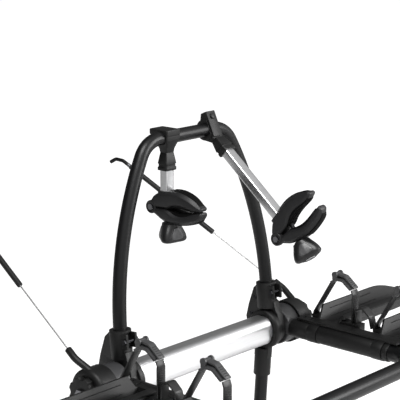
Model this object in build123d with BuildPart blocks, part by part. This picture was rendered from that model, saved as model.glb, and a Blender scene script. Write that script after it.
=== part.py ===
# Trunk mounted platform rack for two bikes
#
# X runs to the right of the car, Y forward to the tailgate and Z up. The origin lies midway between
# the contact faces of the two rubber feet. Sizes are in millimetres and angles in degrees.
from build123d import *
import math
import os

os.makedirs("parts", exist_ok=True)

# Shared fits
running = 0.08
side_gap = 0.3
seat = 0.05
overrun = 5.0
soft_edge = 1.2

# Hub axis, seen from the feet
axle_back = 50.0
axle_rise = 250.0

# Cross tube
cross_half = 184.0
cross_depth = 50.0
cross_height = 56.0
cross_corner = 18.0
cross_wall = 3.0

# Hub axle
axle_r = 16.0
axle_pin_r = 8.0
plug_length = 60.0
flange_t = 2.0
flange_r = 27.0
nut_r = 12.0
nut_t = 5.0

# Stack of pieces on the hub axle, from inboard
ring_r = 39.0
ring_w = 13.4
ring_step = 3.0
bracket_w = 21.9
drum_r = 39.0
drum_w = 34.8
drum_groove = 1.5
house_r = 43.0
house_w = 40.0
house_wall = 4.0
house_dome = 9.0
knob_gap = 1.2
winder_w = 12.0
winder_r = 32.0
winder_flute_r = 8.0
winder_flutes = 8
winder_hub_r = 14.0
reel_core_r = 31.4
reel_flange_r = 36.0
reel_flange_t = 3.0

ring_x = cross_half + flange_t + side_gap
bracket_x = ring_x + ring_w + side_gap
drum_x = bracket_x + bracket_w + side_gap
house_x = drum_x + drum_w
house_end = house_x + house_w
winder_x = house_end + knob_gap
winder_end = winder_x + winder_w
reel_x = house_x + side_gap
reel_end = house_end - house_wall - side_gap

# Hoop
tube_r = 12.7
tube_wall = 2.0
leg_slack = 0.25
hoop_lean = 4.79
hoop_leg_in = 5.0
hoop_foot = 47.0
hoop_bend_start = 80.0
hoop_corner_r = 54.0
hoop_top = 418.4
hoop_bar_past = 11.13

hoop_leg_x = bracket_x + hoop_leg_in

# Hoop bracket
boss_r = 20.0
boss_foot = 42.5
boss_top = 94.0
lug_t = 5.0
lug_height = 28.0
lug_reach = 8.0
lug_space = 17.0
lug_foot = 62.0
bolt_r = 3.0
bolt_head_r = 5.5
bolt_head_t = 3.5
fin_height = 92.0
fin_reach = 54.0
fin_w = 16.4
fin_outline_shares = (
    (-0.58, 0.10), (-0.50, 0.36), (-0.39, 0.45), (-0.30, 0.62), (0.00, 0.68), (0.05, 1.00),
    (0.42, 0.98), (0.66, 0.84), (0.88, 0.46), (1.00, 0.16), (0.96, 0.05), (0.55, -0.10),
)
plate_r = 34.0
core_r = 30.0

# Platform loop and its sleeves
beam_in = 12.8
beam_rise = 1.0
beam_r = 15.5
beam_wall = 2.0
beam_start = 33.0
loop_back = 340.0
loop_corner_r = 60.0
sleeve_r = 18.0
sleeve_start = 40.0
knuckle_r = 19.0
knuckle_start = 84.0
knuckle_w = 24.0
rear_knuckle_start = 238.0

beam_x = drum_x + beam_in

# Lower frame
lower_foot_ahead = 16.0
socket_r = 17.0
socket_top = 38.0
socket_end = 95.0
socket_floor = 5.0
neck_w = 34.0
lower_corner_r = 45.0
foot_in = 81.0
foot_w = 62.0
foot_h = 46.0
foot_behind = 8.0
anchor_w = 30.0
anchor_t = 4.0
anchor_h = 26.0
anchor_slot_w = 20.0
anchor_slot_h = 7.0

lower_x = ring_x + ring_w / 2
foot_x = lower_x - foot_in

# Wheel tray
tray_lap = 3.0
tray_length = 320.0
tray_front = 50.0
tray_back = 288.0
deck_w = 26.0
deck_top = 24.0
deck_t = 4.0
deck_slot_w = 5.0
deck_slot_l = 12.0
deck_slot_pitch = 18.0
channel_one = 107.0
channel_pitch = 147.0
channel_half = 29.0
channel_floor_half = 21.0
channel_wall = 4.0
channel_foot = 5.0
far_height = 47.0
near_height = 37.0
rim_w = 7.0
rim_t = 3.0
tray_ramp_in = 30.0
tray_ramp_run = 16.0
tray_flat_run = 162.0
tray_tip_height = 22.0
tray_tip_foot = 7.0
tray_tip_run = 90.0
floor_slot_l = 22.0
floor_slot_w = 9.0
floor_slots = 6
floor_slot_pitch = 38.0
floor_slot_in = 86.0

tray_inner = beam_x - tray_lap
tray_end = tray_inner + tray_length
tray_rise_start = tray_inner + tray_ramp_in
tray_rise_end = tray_rise_start + tray_ramp_run
tray_flat_end = tray_rise_end + tray_flat_run

# Tyre straps and their ratchets
strap_in = 44.0
strap_w = 19.0
strap_t = 3.0
strap_foot_reach = 20.0
bracket_reach = 46.0
bracket_foot = 12.0
bracket_top = 27.0
strap_bend_r = 7.0
buckle_w = 22.0
buckle_t = 5.0
buckle_bend_r = 9.0
lever_w = 14.0
lever_t = 3.5
lever_pin_r = 2.5
lever_ring_r = 5.0
lever_pin_ahead = -9.0
lever_pin_rise = 117.5

strap_x = tray_inner + strap_in

# Strap places from a channel's centre line: distance ahead and height over the hub axis
far_band = ((41.0, 27.0), (41.0, 32.0), (0.6, 100.3))
near_band = ((-49.0, 93.0), (-52.5, 84.0), (-52.5, 27.0))
tail_band = ((-61.0, 27.0), (-61.0, 56.0), (-76.0, 62.0), (-92.0, 48.0), (-98.0, 25.0))
buckle_arch = ((0.0, 101.0), (-13.0, 109.0), (-28.0, 109.0), (-47.5, 94.5))
lever_arch = ((-11.0, 119.0), (-30.0, 116.5), (-54.0, 97.0))

# Arms, in their own frame: s along the arm from the hoop's top bar, n square to it
arm_shift = 12.0
short_arm_tilt = 0.0
short_hinge_s = 131.0
short_open = 0.0
long_arm_x = 64.0
short_arm_x = arm_shift - long_arm_x
long_arm_tilt = -50.5
long_hinge_s = 252.0
long_open = 12.0
short_knob_twist = 39.0
long_knob_twist = 85.0
arm_w = 22.0
arm_d = 17.5
arm_corner = 4.0
arm_wall = 1.6
arm_start = 34.0
bar_fit = 0.1
clamp_w = 36.0
clamp_d = 34.5
clamp_top = 15.5
clamp_square_end = 9.0
clamp_end = 27.0
clamp_neck_w = 20.0
clamp_neck_d = 16.0
cap_reach = 15.0
cap_t = 9.0
saddle_w = 28.0
saddle_r = 20.0
saddle_neck = 12.0
lug_w = 24.0
lug_foot_at = 16.0
lug_foot_in = 6.0
strip_t = 4.2
strip_angle = 25.6
strip_seat = 13.0
strip_back = 31.0
strip_ahead = 19.0
strip_bolt_back = 20.0
collar_waist = 48.0
collar_ledge = 54.0
collar_end = 60.0
collar_w = 29.0
collar_d = 24.5
collar_step = 1.2
spigot_r = 4.5

# Jaws, in their own frame: r from the hinge to the tip, t toward the hoop's top bar
hinge_n = 26.0
jaw_reach = 119.0
jaw_height = 36.0
jaw_w = 35.0
hinge_r = 12.5
hinge_gap = 0.4
hinge_knuckle_w = 17.0
pin_r = 3.0
pin_head_r = 5.5
pin_head_t = 1.6
liner_t = 3.0
liner_w = 26.0
liner_from = 40.0
liner_to = 112.0
socket_w = 29.0
socket_d = 24.0
socket_rise = 38.0
socket_seat = 27.5
socket_root_share = 0.72
upper_outer_shares = ((0.01, 0.53), (0.22, 0.83), (0.49, 0.97), (0.81, 0.92), (0.96, 0.58), (1.00, 0.30))
upper_mouth_shares = ((0.97, 0.215), (0.80, 0.25), (0.59, 0.33), (0.38, 0.20), (0.18, 0.02))
lower_outer_shares = ((0.08, -0.34), (0.17, -0.58), (0.38, -0.69), (0.79, -0.45), (0.91, -0.31), (1.00, -0.08))
lower_mouth_shares = ((0.97, 0.19), (0.80, -0.03), (0.59, -0.18), (0.38, -0.08), (0.18, -0.01))

# Draw screw and knob, on the lower jaw
screw_at = 35.0
screw_r = 4.0
screw_slack = 0.6
screw_top = 15.0
screw_end = 50.0
trunnion_r = 6.5
trunnion_w = 14.0
pocket_w = 16.0
pocket_low = 28.0
pocket_high_share = 0.3832
pocket_top = 24.0
knob_top = 28.0
knob_height = 34.0
knob_flat_r = 19.5
knob_neck_corner_r = 12.0
knob_neck_flat_r = 15.0
knob_corner_r = 11.5
knob_collar_r = 13.0
knob_collar_t = 2.6
knob_cup = 12.0
panel_r = 15.0
panel_t = 1.5
lock_r = 8.0

# Steel upper cables, with the places of their bends from the inner end of the winder's housing
cable_r = 1.4
sleeve_cable_r = 5.5
sleeve_length = 243.0
crimp_r = 4.2
crimp_length = 8.0
nozzle_r = 6.5
nozzle_bore_r = 2.3
nozzle_length = 24.0
cable_route = (
    (house_x + 24.0, -16.0, 29.0), (house_x + 35.4, 32.0, 55.5), (house_x + 10.1, 204.0, 150.5),
)
hook_shank = 15.0
hook_steps = ((-4.5, 32.0, 9.0), (-6.6, 46.0, 1.0))
cable_bend_r = 40.0
hook_bend_r = 12.0
hook_r = 4.0


def at(x, y, z):
    """A point given from the hub axis, in the frame of the whole object."""
    return (x, y - axle_back, z + axle_rise)


def across(x):
    """Plane square to the hub axis; its own x runs forward and its y up."""
    return Plane(origin=at(x, 0, 0), x_dir=(0, 1, 0), z_dir=(1, 0, 0))


def finish(builder, name):
    """Labels a finished piece and writes it."""
    builder.part.label = name
    export_step(builder.part, f"parts/{name}.step")


def finish_pair(right, stem):
    """Writes a piece of the right side and its mirrored twin of the left."""
    finish(right, stem + "_r")
    with BuildPart() as left:
        mirror(right.part, about=Plane.YZ)
    finish(left, stem + "_l")


def finish_both(right, name):
    """Writes a piece of the right side and its mirrored twin as one node."""
    with BuildPart() as both:
        add(right.part)
        mirror(right.part, about=Plane.YZ)
    finish(both, name)


lean_y = math.sin(math.radians(hoop_lean))
lean_z = math.cos(math.radians(hoop_lean))
hoop_plane = Plane(origin=at(0, 0, 0), x_dir=(1, 0, 0), z_dir=(0, -lean_z, lean_y))
lower_length = math.hypot(lower_foot_ahead, axle_rise)
lower_plane = Plane(
    origin=at(0, 0, 0), x_dir=(1, 0, 0),
    z_dir=(0, axle_rise / lower_length, lower_foot_ahead / lower_length),
)


def along_plane(plane, x, distance):
    """Plane square to a leg that runs along the given plane's own y."""
    return Plane(origin=plane.from_local_coords((x, distance, 0)), x_dir=(1, 0, 0), z_dir=plane.y_dir)


# Cross tube
with BuildPart() as cross_tube:
    with BuildSketch(across(-cross_half)):
        RectangleRounded(cross_depth, cross_height, cross_corner)
        RectangleRounded(
            cross_depth - 2 * cross_wall, cross_height - 2 * cross_wall, cross_corner - cross_wall,
            mode=Mode.SUBTRACT,
        )
    extrude(amount=2 * cross_half)
finish(cross_tube, "cross_tube")

# Hub axles, each with its end nut
with BuildPart() as hub_axle:
    with BuildSketch(across(cross_half - plug_length)):
        RectangleRounded(
            cross_depth - 2 * (cross_wall + seat), cross_height - 2 * (cross_wall + seat),
            cross_corner - cross_wall,
        )
    extrude(amount=plug_length)
    with BuildSketch(across(cross_half)):
        Circle(flange_r)
    extrude(amount=flange_t)
    with BuildSketch(across(cross_half)):
        Circle(axle_r)
    extrude(amount=house_x - cross_half)
    with BuildSketch(across(cross_half)):
        Circle(axle_pin_r)
    extrude(amount=winder_end - cross_half)
    with BuildSketch(across(winder_end)):
        RegularPolygon(nut_r, 6)
    extrude(amount=nut_t)
finish_both(hub_axle, "hub_axles")

# Platform hubs with the socket of the side beam
with BuildPart() as hub_drum:
    with BuildSketch(across(drum_x)):
        Circle(drum_r)
    extrude(amount=drum_w)
    chamfer(hub_drum.edges().filter_by(GeomType.CIRCLE), soft_edge)
    beam_mouth = Plane(origin=at(beam_x, -sleeve_start, beam_rise), x_dir=(1, 0, 0), z_dir=(0, 1, 0))
    with BuildSketch(beam_mouth):
        Circle(sleeve_r)
    extrude(amount=sleeve_start - core_r - hinge_gap)
    with BuildSketch(beam_mouth):
        Circle(beam_r + seat)
    extrude(amount=sleeve_start - beam_start, mode=Mode.SUBTRACT)
    with BuildSketch(across(drum_x - overrun)):
        Circle(axle_r + seat)
    extrude(amount=drum_w + 2 * overrun, mode=Mode.SUBTRACT)
    with BuildSketch(across(house_x - drum_groove)):
        Circle(drum_r + overrun)
        Circle(drum_r - drum_groove, mode=Mode.SUBTRACT)
    extrude(amount=drum_groove, mode=Mode.SUBTRACT)
finish_both(hub_drum, "hub_drums")

# Platform loop
with BuildPart() as platform_loop:
    with BuildLine(Plane(origin=at(0, 0, beam_rise))) as loop_path:
        FilletPolyline(
            (beam_x, -beam_start), (beam_x, -loop_back), (-beam_x, -loop_back), (-beam_x, -beam_start),
            radius=loop_corner_r,
        )
    with BuildSketch(Plane(origin=loop_path.wire() @ 0, z_dir=loop_path.wire() % 0)):
        Circle(beam_r)
        Circle(beam_r - beam_wall, mode=Mode.SUBTRACT)
    sweep(path=loop_path.wire())
finish(platform_loop, "platform_loop")


def beam_plane(distance):
    """Plane square to the right side beam, with its normal to the rear."""
    return Plane(origin=at(beam_x, -distance, beam_rise), x_dir=(1, 0, 0), z_dir=(0, -1, 0))


# Fixed sleeves on the side beams, between and behind the tray's knuckles
knuckle_end = knuckle_start + knuckle_w
rear_knuckle_end = rear_knuckle_start + knuckle_w
stop_ring_w = knuckle_w / 2
sleeve_spans = (
    (sleeve_start, knuckle_start - side_gap),
    (knuckle_end + side_gap, rear_knuckle_start - side_gap),
    (rear_knuckle_end + side_gap, rear_knuckle_end + side_gap + stop_ring_w),
)
with BuildPart() as beam_sleeve:
    for start, end in sleeve_spans:
        with BuildSketch(beam_plane(start)):
            Circle(sleeve_r)
            Circle(beam_r + seat, mode=Mode.SUBTRACT)
        extrude(amount=end - start)
    outer_rims = beam_sleeve.edges().filter_by(GeomType.CIRCLE).filter_by(lambda e: e.radius > beam_r + soft_edge)
    chamfer(outer_rims, soft_edge)
finish_both(beam_sleeve, "beam_sleeves")

# Cable winder housings: a cup over the reel, with the outlet that turns the cable inward
outlet_start = Vector(*at(*cable_route[0]))
outlet_bend = Vector(*at(*cable_route[1]))
outlet_out = (Vector(*at(*cable_route[2])) - outlet_bend).normalized()
with BuildPart() as winder_housing:
    with BuildSketch(across(house_x)):
        Circle(house_r)
    extrude(amount=house_w)
    fillet(winder_housing.edges().filter_by(GeomType.CIRCLE).sort_by(Axis.X)[-1], house_dome)
    with BuildLine() as outlet_path:
        FilletPolyline(
            outlet_start, outlet_bend, outlet_bend + outlet_out * nozzle_length, radius=cable_bend_r
        )
    outlet_wire = outlet_path.wire()
    with BuildSketch(Plane(origin=outlet_wire @ 0, z_dir=outlet_wire % 0)):
        Circle(nozzle_r)
    sweep(path=outlet_wire)
    with BuildSketch(across(house_x)):
        Circle(house_r - house_wall)
    extrude(amount=house_w - house_wall, mode=Mode.SUBTRACT)
    with BuildSketch(across(house_x)):
        Circle(winder_hub_r + side_gap)
    extrude(amount=house_w + overrun, mode=Mode.SUBTRACT)
    with BuildSketch(Plane(origin=outlet_wire @ 0, z_dir=outlet_wire % 0)):
        Circle(nozzle_bore_r)
    sweep(path=outlet_wire, mode=Mode.SUBTRACT)
finish_pair(winder_housing, "winder_housing")

# Cable reels
with BuildPart() as cable_reel:
    for start, width, radius in (
        (reel_x, reel_flange_t, reel_flange_r),
        (reel_x, reel_end - reel_x, reel_core_r),
        (reel_end - reel_flange_t, reel_flange_t, reel_flange_r),
    ):
        with BuildSketch(across(start)):
            Circle(radius)
            Circle(axle_pin_r + running, mode=Mode.SUBTRACT)
        extrude(amount=width)
finish_pair(cable_reel, "cable_reel")

# Winder knobs
with BuildPart() as winder_knob:
    with BuildSketch(across(winder_x)):
        Circle(winder_r)
        with PolarLocations(winder_r + winder_flute_r / 2, winder_flutes):
            Circle(winder_flute_r, mode=Mode.SUBTRACT)
    extrude(amount=winder_w)
    chamfer(winder_knob.faces().sort_by(Axis.X)[-1].edges(), soft_edge)
    with BuildSketch(across(reel_end)):
        Circle(winder_hub_r)
    extrude(amount=winder_x - reel_end)
    with BuildSketch(across(reel_end - overrun)):
        Circle(axle_pin_r + running)
    extrude(amount=winder_end - reel_end + 2 * overrun, mode=Mode.SUBTRACT)
finish_pair(winder_knob, "winder_knob")

# Hoop
hoop_bar_half = long_arm_x + hoop_bar_past
corner_rise = hoop_top - hoop_corner_r - hoop_bend_start
corner_shift = hoop_leg_x - hoop_bar_half - hoop_corner_r
bend_r_past_corner = (corner_rise ** 2 + corner_shift ** 2) / (2 * corner_shift)
hoop_leg_bend_r = hoop_corner_r + bend_r_past_corner
hoop_turn = math.degrees(math.asin(corner_rise / bend_r_past_corner))
with BuildPart() as hoop_tube:
    with BuildLine() as hoop_path:
        leg = Line((hoop_leg_x, hoop_foot), (hoop_leg_x, hoop_bend_start))
        lean_in = JernArc(leg @ 1, leg % 1, hoop_leg_bend_r, hoop_turn)
        corner = JernArc(lean_in @ 1, lean_in % 1, hoop_corner_r, 90 - hoop_turn)
        top_bar = Line(corner @ 1, (-(corner @ 1).X, (corner @ 1).Y))
        far_corner = JernArc(top_bar @ 1, top_bar % 1, hoop_corner_r, 90 - hoop_turn)
        lean_out = JernArc(far_corner @ 1, far_corner % 1, hoop_leg_bend_r, hoop_turn)
        Line(lean_out @ 1, (-hoop_leg_x, hoop_foot))
    hoop_wire = hoop_path.wire().moved(hoop_plane.location)
    for radius, mode in ((tube_r, Mode.ADD), (tube_r - tube_wall, Mode.SUBTRACT)):
        with BuildSketch(Plane(origin=hoop_wire @ 0, z_dir=hoop_wire % 0)):
            Circle(radius)
        sweep(path=hoop_wire, mode=mode)
finish(hoop_tube, "hoop_tube")

# Hoop brackets: a finned plate on the axle and a split boss round the leg
lug_middle = lug_foot + lug_height / 2
lug_out = boss_r + lug_reach
with BuildPart() as hoop_bracket:
    with BuildSketch(across(bracket_x)):
        Circle(plate_r)
        with BuildLine():
            Polyline(*[(fin_reach * a, fin_height * b) for a, b in fin_outline_shares], close=True)
        make_face()
    extrude(amount=fin_w)
    with BuildSketch(across(bracket_x)):
        Circle(core_r)
    extrude(amount=bracket_w)
    with BuildSketch(along_plane(hoop_plane, hoop_leg_x, boss_foot)):
        Circle(boss_r)
    extrude(amount=boss_top - boss_foot)
    lug_plane = Plane(
        origin=hoop_plane.from_local_coords((hoop_leg_x, lug_middle, 0)), x_dir=(1, 0, 0), z_dir=hoop_plane.z_dir
    )
    with BuildSketch(lug_plane):
        with Locations((-(lug_space + lug_t) / 2, 0), ((lug_space + lug_t) / 2, 0)):
            RectangleRounded(lug_t, lug_height, lug_t / 3)
    extrude(amount=lug_out)
    with BuildSketch(along_plane(hoop_plane, hoop_leg_x, hoop_foot)):
        Circle(tube_r + leg_slack)
    extrude(amount=boss_top, mode=Mode.SUBTRACT)
    with BuildSketch(lug_plane.offset(tube_r + tube_wall)):
        RectangleRounded(lug_space, lug_height, lug_t / 3)
    extrude(amount=lug_out, mode=Mode.SUBTRACT)
    with BuildSketch(Plane(
        origin=hoop_plane.from_local_coords((hoop_leg_x + lug_out, lug_middle, lug_out - lug_t)),
        x_dir=(0, 1, 0), z_dir=(-1, 0, 0),
    )):
        Circle(bolt_r + seat)
    extrude(amount=2 * lug_out, mode=Mode.SUBTRACT)
    with BuildSketch(across(bracket_x - overrun)):
        Circle(axle_r + running)
    extrude(amount=bracket_w + 2 * overrun, mode=Mode.SUBTRACT)
finish_pair(hoop_bracket, "hoop_bracket")

# Cross bolts of the split bosses
lug_side = (lug_space + 2 * lug_t) / 2
with BuildPart() as hoop_bolt:
    bolt_start = hoop_plane.from_local_coords((hoop_leg_x - lug_side, lug_middle, lug_out - lug_t))
    with BuildSketch(Plane(origin=bolt_start, x_dir=(0, 1, 0), z_dir=(1, 0, 0))):
        Circle(bolt_r)
    extrude(amount=2 * lug_side)
    for x_place, toward in ((hoop_leg_x - lug_side, (-1, 0, 0)), (hoop_leg_x + lug_side, (1, 0, 0))):
        head_at = hoop_plane.from_local_coords((x_place, lug_middle, lug_out - lug_t))
        with BuildSketch(Plane(origin=head_at, x_dir=(0, 1, 0), z_dir=toward)):
            RegularPolygon(bolt_head_r, 6)
        extrude(amount=bolt_head_t)
finish_both(hoop_bolt, "hoop_bolts")

# Lower frame sockets with their hub rings
with BuildPart() as lower_socket:
    with BuildSketch(across(ring_x)):
        Circle(ring_r)
    extrude(amount=ring_w)
    chamfer(lower_socket.edges().filter_by(GeomType.CIRCLE).sort_by(Axis.X)[0], ring_step)
    with BuildSketch(along_plane(lower_plane, lower_x, ring_r / 2)):
        Rectangle(ring_w, neck_w)
    extrude(amount=socket_top)
    with BuildSketch(along_plane(lower_plane, lower_x, socket_top + side_gap)):
        Circle(socket_r)
    extrude(amount=socket_end - socket_top)
    with BuildSketch(along_plane(lower_plane, lower_x, socket_top + socket_floor)):
        Circle(tube_r + seat)
    extrude(amount=socket_end, mode=Mode.SUBTRACT)
    with BuildSketch(across(ring_x - overrun)):
        Circle(axle_r + running)
    extrude(amount=ring_w + 2 * overrun, mode=Mode.SUBTRACT)
finish_pair(lower_socket, "lower_socket")

# Lower frame tube with its welded strap anchors
with BuildPart() as lower_tube:
    lower_start = socket_top + socket_floor
    with BuildLine(lower_plane) as lower_path:
        FilletPolyline(
            (lower_x, lower_start), (lower_x, lower_length), (-lower_x, lower_length), (-lower_x, lower_start),
            radius=lower_corner_r,
        )
    lower_wire = lower_path.wire()
    for radius, mode in ((tube_r, Mode.ADD), (tube_r - tube_wall, Mode.SUBTRACT)):
        with BuildSketch(Plane(origin=lower_wire @ 0, z_dir=lower_wire % 0)):
            Circle(radius)
        sweep(path=lower_wire, mode=mode)
    anchor_y = lower_length - lower_corner_r - anchor_h
    for side in (-1, 1):
        anchor_at = lower_plane.from_local_coords((side * lower_x, anchor_y, 0))
        with BuildSketch(Plane(origin=anchor_at, x_dir=(1, 0, 0), z_dir=lower_plane.z_dir)):
            with Locations((-side * (tube_r - tube_wall / 2 + anchor_w / 2), 0)):
                RectangleRounded(anchor_w, anchor_h, anchor_t)
            with Locations((-side * (tube_r + anchor_w / 2), 0)):
                RectangleRounded(anchor_slot_h, anchor_slot_w, anchor_slot_h / 3, mode=Mode.SUBTRACT)
        extrude(amount=anchor_t / 2, both=True)
finish(lower_tube, "lower_tube")

# Rubber feet, with their contact faces on the plane of the origin
foot_saddle_y = axle_back - lower_foot_ahead
with BuildPart() as rubber_foot:
    with BuildSketch(Plane(origin=(foot_x, 0, 0), x_dir=(1, 0, 0), z_dir=(0, -1, 0))):
        RectangleRounded(foot_w, foot_h, foot_h / 4)
    extrude(amount=foot_saddle_y + foot_behind)
    chamfer(rubber_foot.faces().sort_by(Axis.Y)[-1].edges(), soft_edge)
    with BuildSketch(Plane(origin=(foot_x - foot_w, -foot_saddle_y, 0), x_dir=(0, 1, 0), z_dir=(1, 0, 0))):
        Circle(tube_r + seat)
    extrude(amount=2 * foot_w, mode=Mode.SUBTRACT)
finish_both(rubber_foot, "rubber_feet")


def channel_section(centre):
    """Cross-section of one wheel channel round its centre line."""
    rim_foot = near_height - rim_w / 2
    with BuildSketch() as section:
        with BuildLine():
            Polyline(
                (centre + channel_half, far_height),
                (centre + channel_floor_half, channel_foot),
                (centre - channel_floor_half, channel_foot),
                (centre - channel_half, rim_foot - rim_t),
                (centre - channel_half - rim_w, rim_foot - rim_t),
                (centre - channel_half - rim_w, rim_foot),
                (centre - channel_half + channel_wall / 2, near_height),
                (centre - channel_half + channel_wall, near_height),
                (centre - channel_floor_half + channel_wall, channel_foot + channel_wall),
                (centre + channel_floor_half - channel_wall, channel_foot + channel_wall),
                (centre + channel_half - channel_wall, far_height),
                close=True,
            )
        make_face()
    return section.sketch


# Wheel trays: a hinge strip along the side beam and two wheel channels across it
tray_front_plane = Plane(origin=at(0, -tray_front, 0), x_dir=(1, 0, 0), z_dir=(0, -1, 0))
tray_depth = tray_back - tray_front
channel_centres = (-channel_one, -channel_one - channel_pitch)
with BuildPart() as wheel_tray:
    for centre in channel_centres:
        with BuildSketch(across(tray_inner)):
            add(channel_section(centre))
        extrude(amount=tray_end - tray_inner)
    # Side view of the channels: a ramp inboard, a long flat top and a tip that falls away
    with BuildSketch(tray_front_plane):
        with BuildLine():
            foot_line = Line((tray_inner, deck_top - deck_t), (tray_inner + deck_w, channel_foot))
            floor_line = Line(foot_line @ 1, (tray_end - tray_tip_run, channel_foot))
            tip_line = Line(floor_line @ 1, (tray_end, tray_tip_foot))
            end_line = Line(tip_line @ 1, (tray_end, tray_tip_height))
            fall = Spline(
                end_line @ 1, (tray_flat_end, far_height),
                tangents=((-tray_tip_run, far_height - tray_tip_height), (-1, 0)),
            )
            flat = Line(fall @ 1, (tray_rise_end, far_height))
            ramp = Line(flat @ 1, (tray_rise_start, deck_top))
            back = Line(ramp @ 1, (tray_inner, deck_top))
            Line(back @ 1, foot_line @ 0)
        make_face()
    extrude(amount=tray_depth, mode=Mode.INTERSECT)
    # Hinge strip
    with BuildSketch(tray_front_plane):
        with Locations((tray_inner + deck_w / 2, deck_top - deck_t / 2)):
            Rectangle(deck_w, deck_t)
        with Locations((tray_inner + deck_w - deck_t / 2, (deck_top + channel_foot) / 2)):
            Rectangle(deck_t, deck_top - channel_foot)
    extrude(amount=tray_depth)
    with BuildSketch(Plane(origin=at(tray_inner + deck_w / 2, -tray_front - deck_slot_pitch, deck_top))):
        with GridLocations(deck_slot_pitch / 2, deck_slot_pitch, 1, 2):
            RectangleRounded(deck_slot_l, deck_slot_w, deck_slot_w / 3)
    extrude(amount=-deck_t, mode=Mode.SUBTRACT)
    # Knuckles round the side beam, tied to the strip
    for start in (knuckle_start, rear_knuckle_start):
        with BuildSketch(beam_plane(start)):
            Circle(knuckle_r)
        extrude(amount=knuckle_w)
        with BuildSketch(Plane(origin=at(0, -start, 0), x_dir=(1, 0, 0), z_dir=(0, -1, 0))):
            with Locations((tray_inner + deck_w / 2, (deck_top - deck_t) / 2 + beam_rise)):
                Rectangle(deck_w, deck_top - deck_t)
        extrude(amount=knuckle_w)
        with BuildSketch(beam_plane(start - overrun)):
            Circle(beam_r + running)
        extrude(amount=knuckle_w + 2 * overrun, mode=Mode.SUBTRACT)
    # Between the knuckles the strip runs free of the side beam and its sleeves
    for start, end in (
        (tray_front - overrun, knuckle_start), (knuckle_end, rear_knuckle_start),
        (rear_knuckle_end, tray_back + overrun),
    ):
        with BuildSketch(beam_plane(start)):
            Circle(sleeve_r + side_gap)
        extrude(amount=end - start, mode=Mode.SUBTRACT)
    # Drain slots in the channel floors
    for centre in channel_centres:
        slot_middle = tray_inner + floor_slot_in + floor_slot_pitch * (floor_slots - 1) / 2
        with BuildSketch(Plane(origin=at(slot_middle, centre, channel_foot))):
            with GridLocations(floor_slot_pitch, 0, floor_slots, 1):
                RectangleRounded(floor_slot_w, floor_slot_l, floor_slot_w / 3)
        extrude(amount=2 * channel_wall, mode=Mode.SUBTRACT)
    # Strap seats: a pad on the far wall and a tongue behind the near wall
    for centre in channel_centres:
        with BuildSketch(Plane(origin=at(strap_x, centre + channel_half, bracket_foot))):
            with Locations((0, strap_foot_reach / 2 - channel_wall)):
                RectangleRounded(buckle_w, strap_foot_reach, strap_t)
        extrude(amount=bracket_top - bracket_foot)
        with BuildSketch(Plane(origin=at(strap_x, centre - channel_half, bracket_foot))):
            with Locations((0, -bracket_reach / 2 + channel_wall)):
                RectangleRounded(buckle_w, bracket_reach, strap_t)
        extrude(amount=bracket_top - bracket_foot)
finish_pair(wheel_tray, "wheel_tray")


def strap_points(centre, points):
    """Moves points given from a channel's centre line to the plane of its strap."""
    return [(centre + ahead, height) for ahead, height in points]


# Tyre straps: the forward band, the ladder band behind it and its free tail
with BuildPart() as tyre_straps:
    for centre in channel_centres:
        for run in (far_band, near_band, tail_band):
            with BuildSketch(across(strap_x - strap_w / 2)):
                with BuildLine():
                    FilletPolyline(*strap_points(centre, run), radius=strap_bend_r)
                trace(line_width=strap_t)
            extrude(amount=strap_w)
finish_pair(tyre_straps, "tyre_straps")

# Ratchet buckles: an arched body with two ears and the lever's pin
with BuildPart() as ratchet_buckles:
    for centre in channel_centres:
        with BuildSketch(across(strap_x - buckle_w / 2)):
            with BuildLine():
                FilletPolyline(*strap_points(centre, buckle_arch), radius=buckle_bend_r)
            trace(line_width=buckle_t)
            with Locations((centre + lever_pin_ahead, lever_pin_rise)):
                Circle(lever_ring_r + strap_t / 2)
            with Locations((centre + lever_pin_ahead, lever_pin_rise - lever_ring_r)):
                Rectangle(2 * lever_ring_r, 2 * lever_ring_r)
        extrude(amount=buckle_w)
        with BuildSketch(across(strap_x - lever_w / 2 - side_gap)):
            with Locations((centre + lever_pin_ahead, lever_pin_rise)):
                Circle(lever_ring_r + strap_t)
        extrude(amount=lever_w + 2 * side_gap, mode=Mode.SUBTRACT)
        with BuildSketch(across(strap_x - buckle_w / 2)):
            with Locations((centre + lever_pin_ahead, lever_pin_rise)):
                Circle(lever_pin_r)
        extrude(amount=buckle_w)
finish_pair(ratchet_buckles, "ratchet_buckles")

# Ratchet levers, one for each buckle
for number, centre in enumerate(channel_centres, start=1):
    with BuildPart() as ratchet_lever:
        with BuildSketch(across(strap_x - lever_w / 2)):
            with BuildLine():
                FilletPolyline(*strap_points(centre, lever_arch), radius=buckle_bend_r)
            trace(line_width=lever_t)
            with Locations((centre + lever_pin_ahead, lever_pin_rise)):
                Circle(lever_ring_r)
                Circle(lever_pin_r + running, mode=Mode.SUBTRACT)
        extrude(amount=lever_w)
    finish_pair(ratchet_lever, f"ratchet_lever_{number}")

# Bike arms
bar_centre = hoop_plane.from_local_coords((0, hoop_top, 0))


def arm_plane(x, tilt):
    """Plane of an arm: its own x runs along the arm (s) and its y square to it (n)."""
    swing = math.radians(tilt)
    return Plane(
        origin=bar_centre + Vector(x, 0, 0), x_dir=(0, math.sin(swing), -math.cos(swing)), z_dir=(1, 0, 0)
    )


def square_to_arm(frame, s):
    """Plane square to an arm at s; its own x runs along n and its y to the car's right."""
    return Plane(origin=frame.from_local_coords((s, 0, 0)), x_dir=frame.y_dir, z_dir=frame.x_dir)


def turned(plane, angle):
    """A plane turned in itself, about its own origin."""
    swing = math.radians(angle)
    return Plane(
        origin=plane.origin, x_dir=plane.x_dir * math.cos(swing) + plane.y_dir * math.sin(swing), z_dir=plane.z_dir
    )


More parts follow.
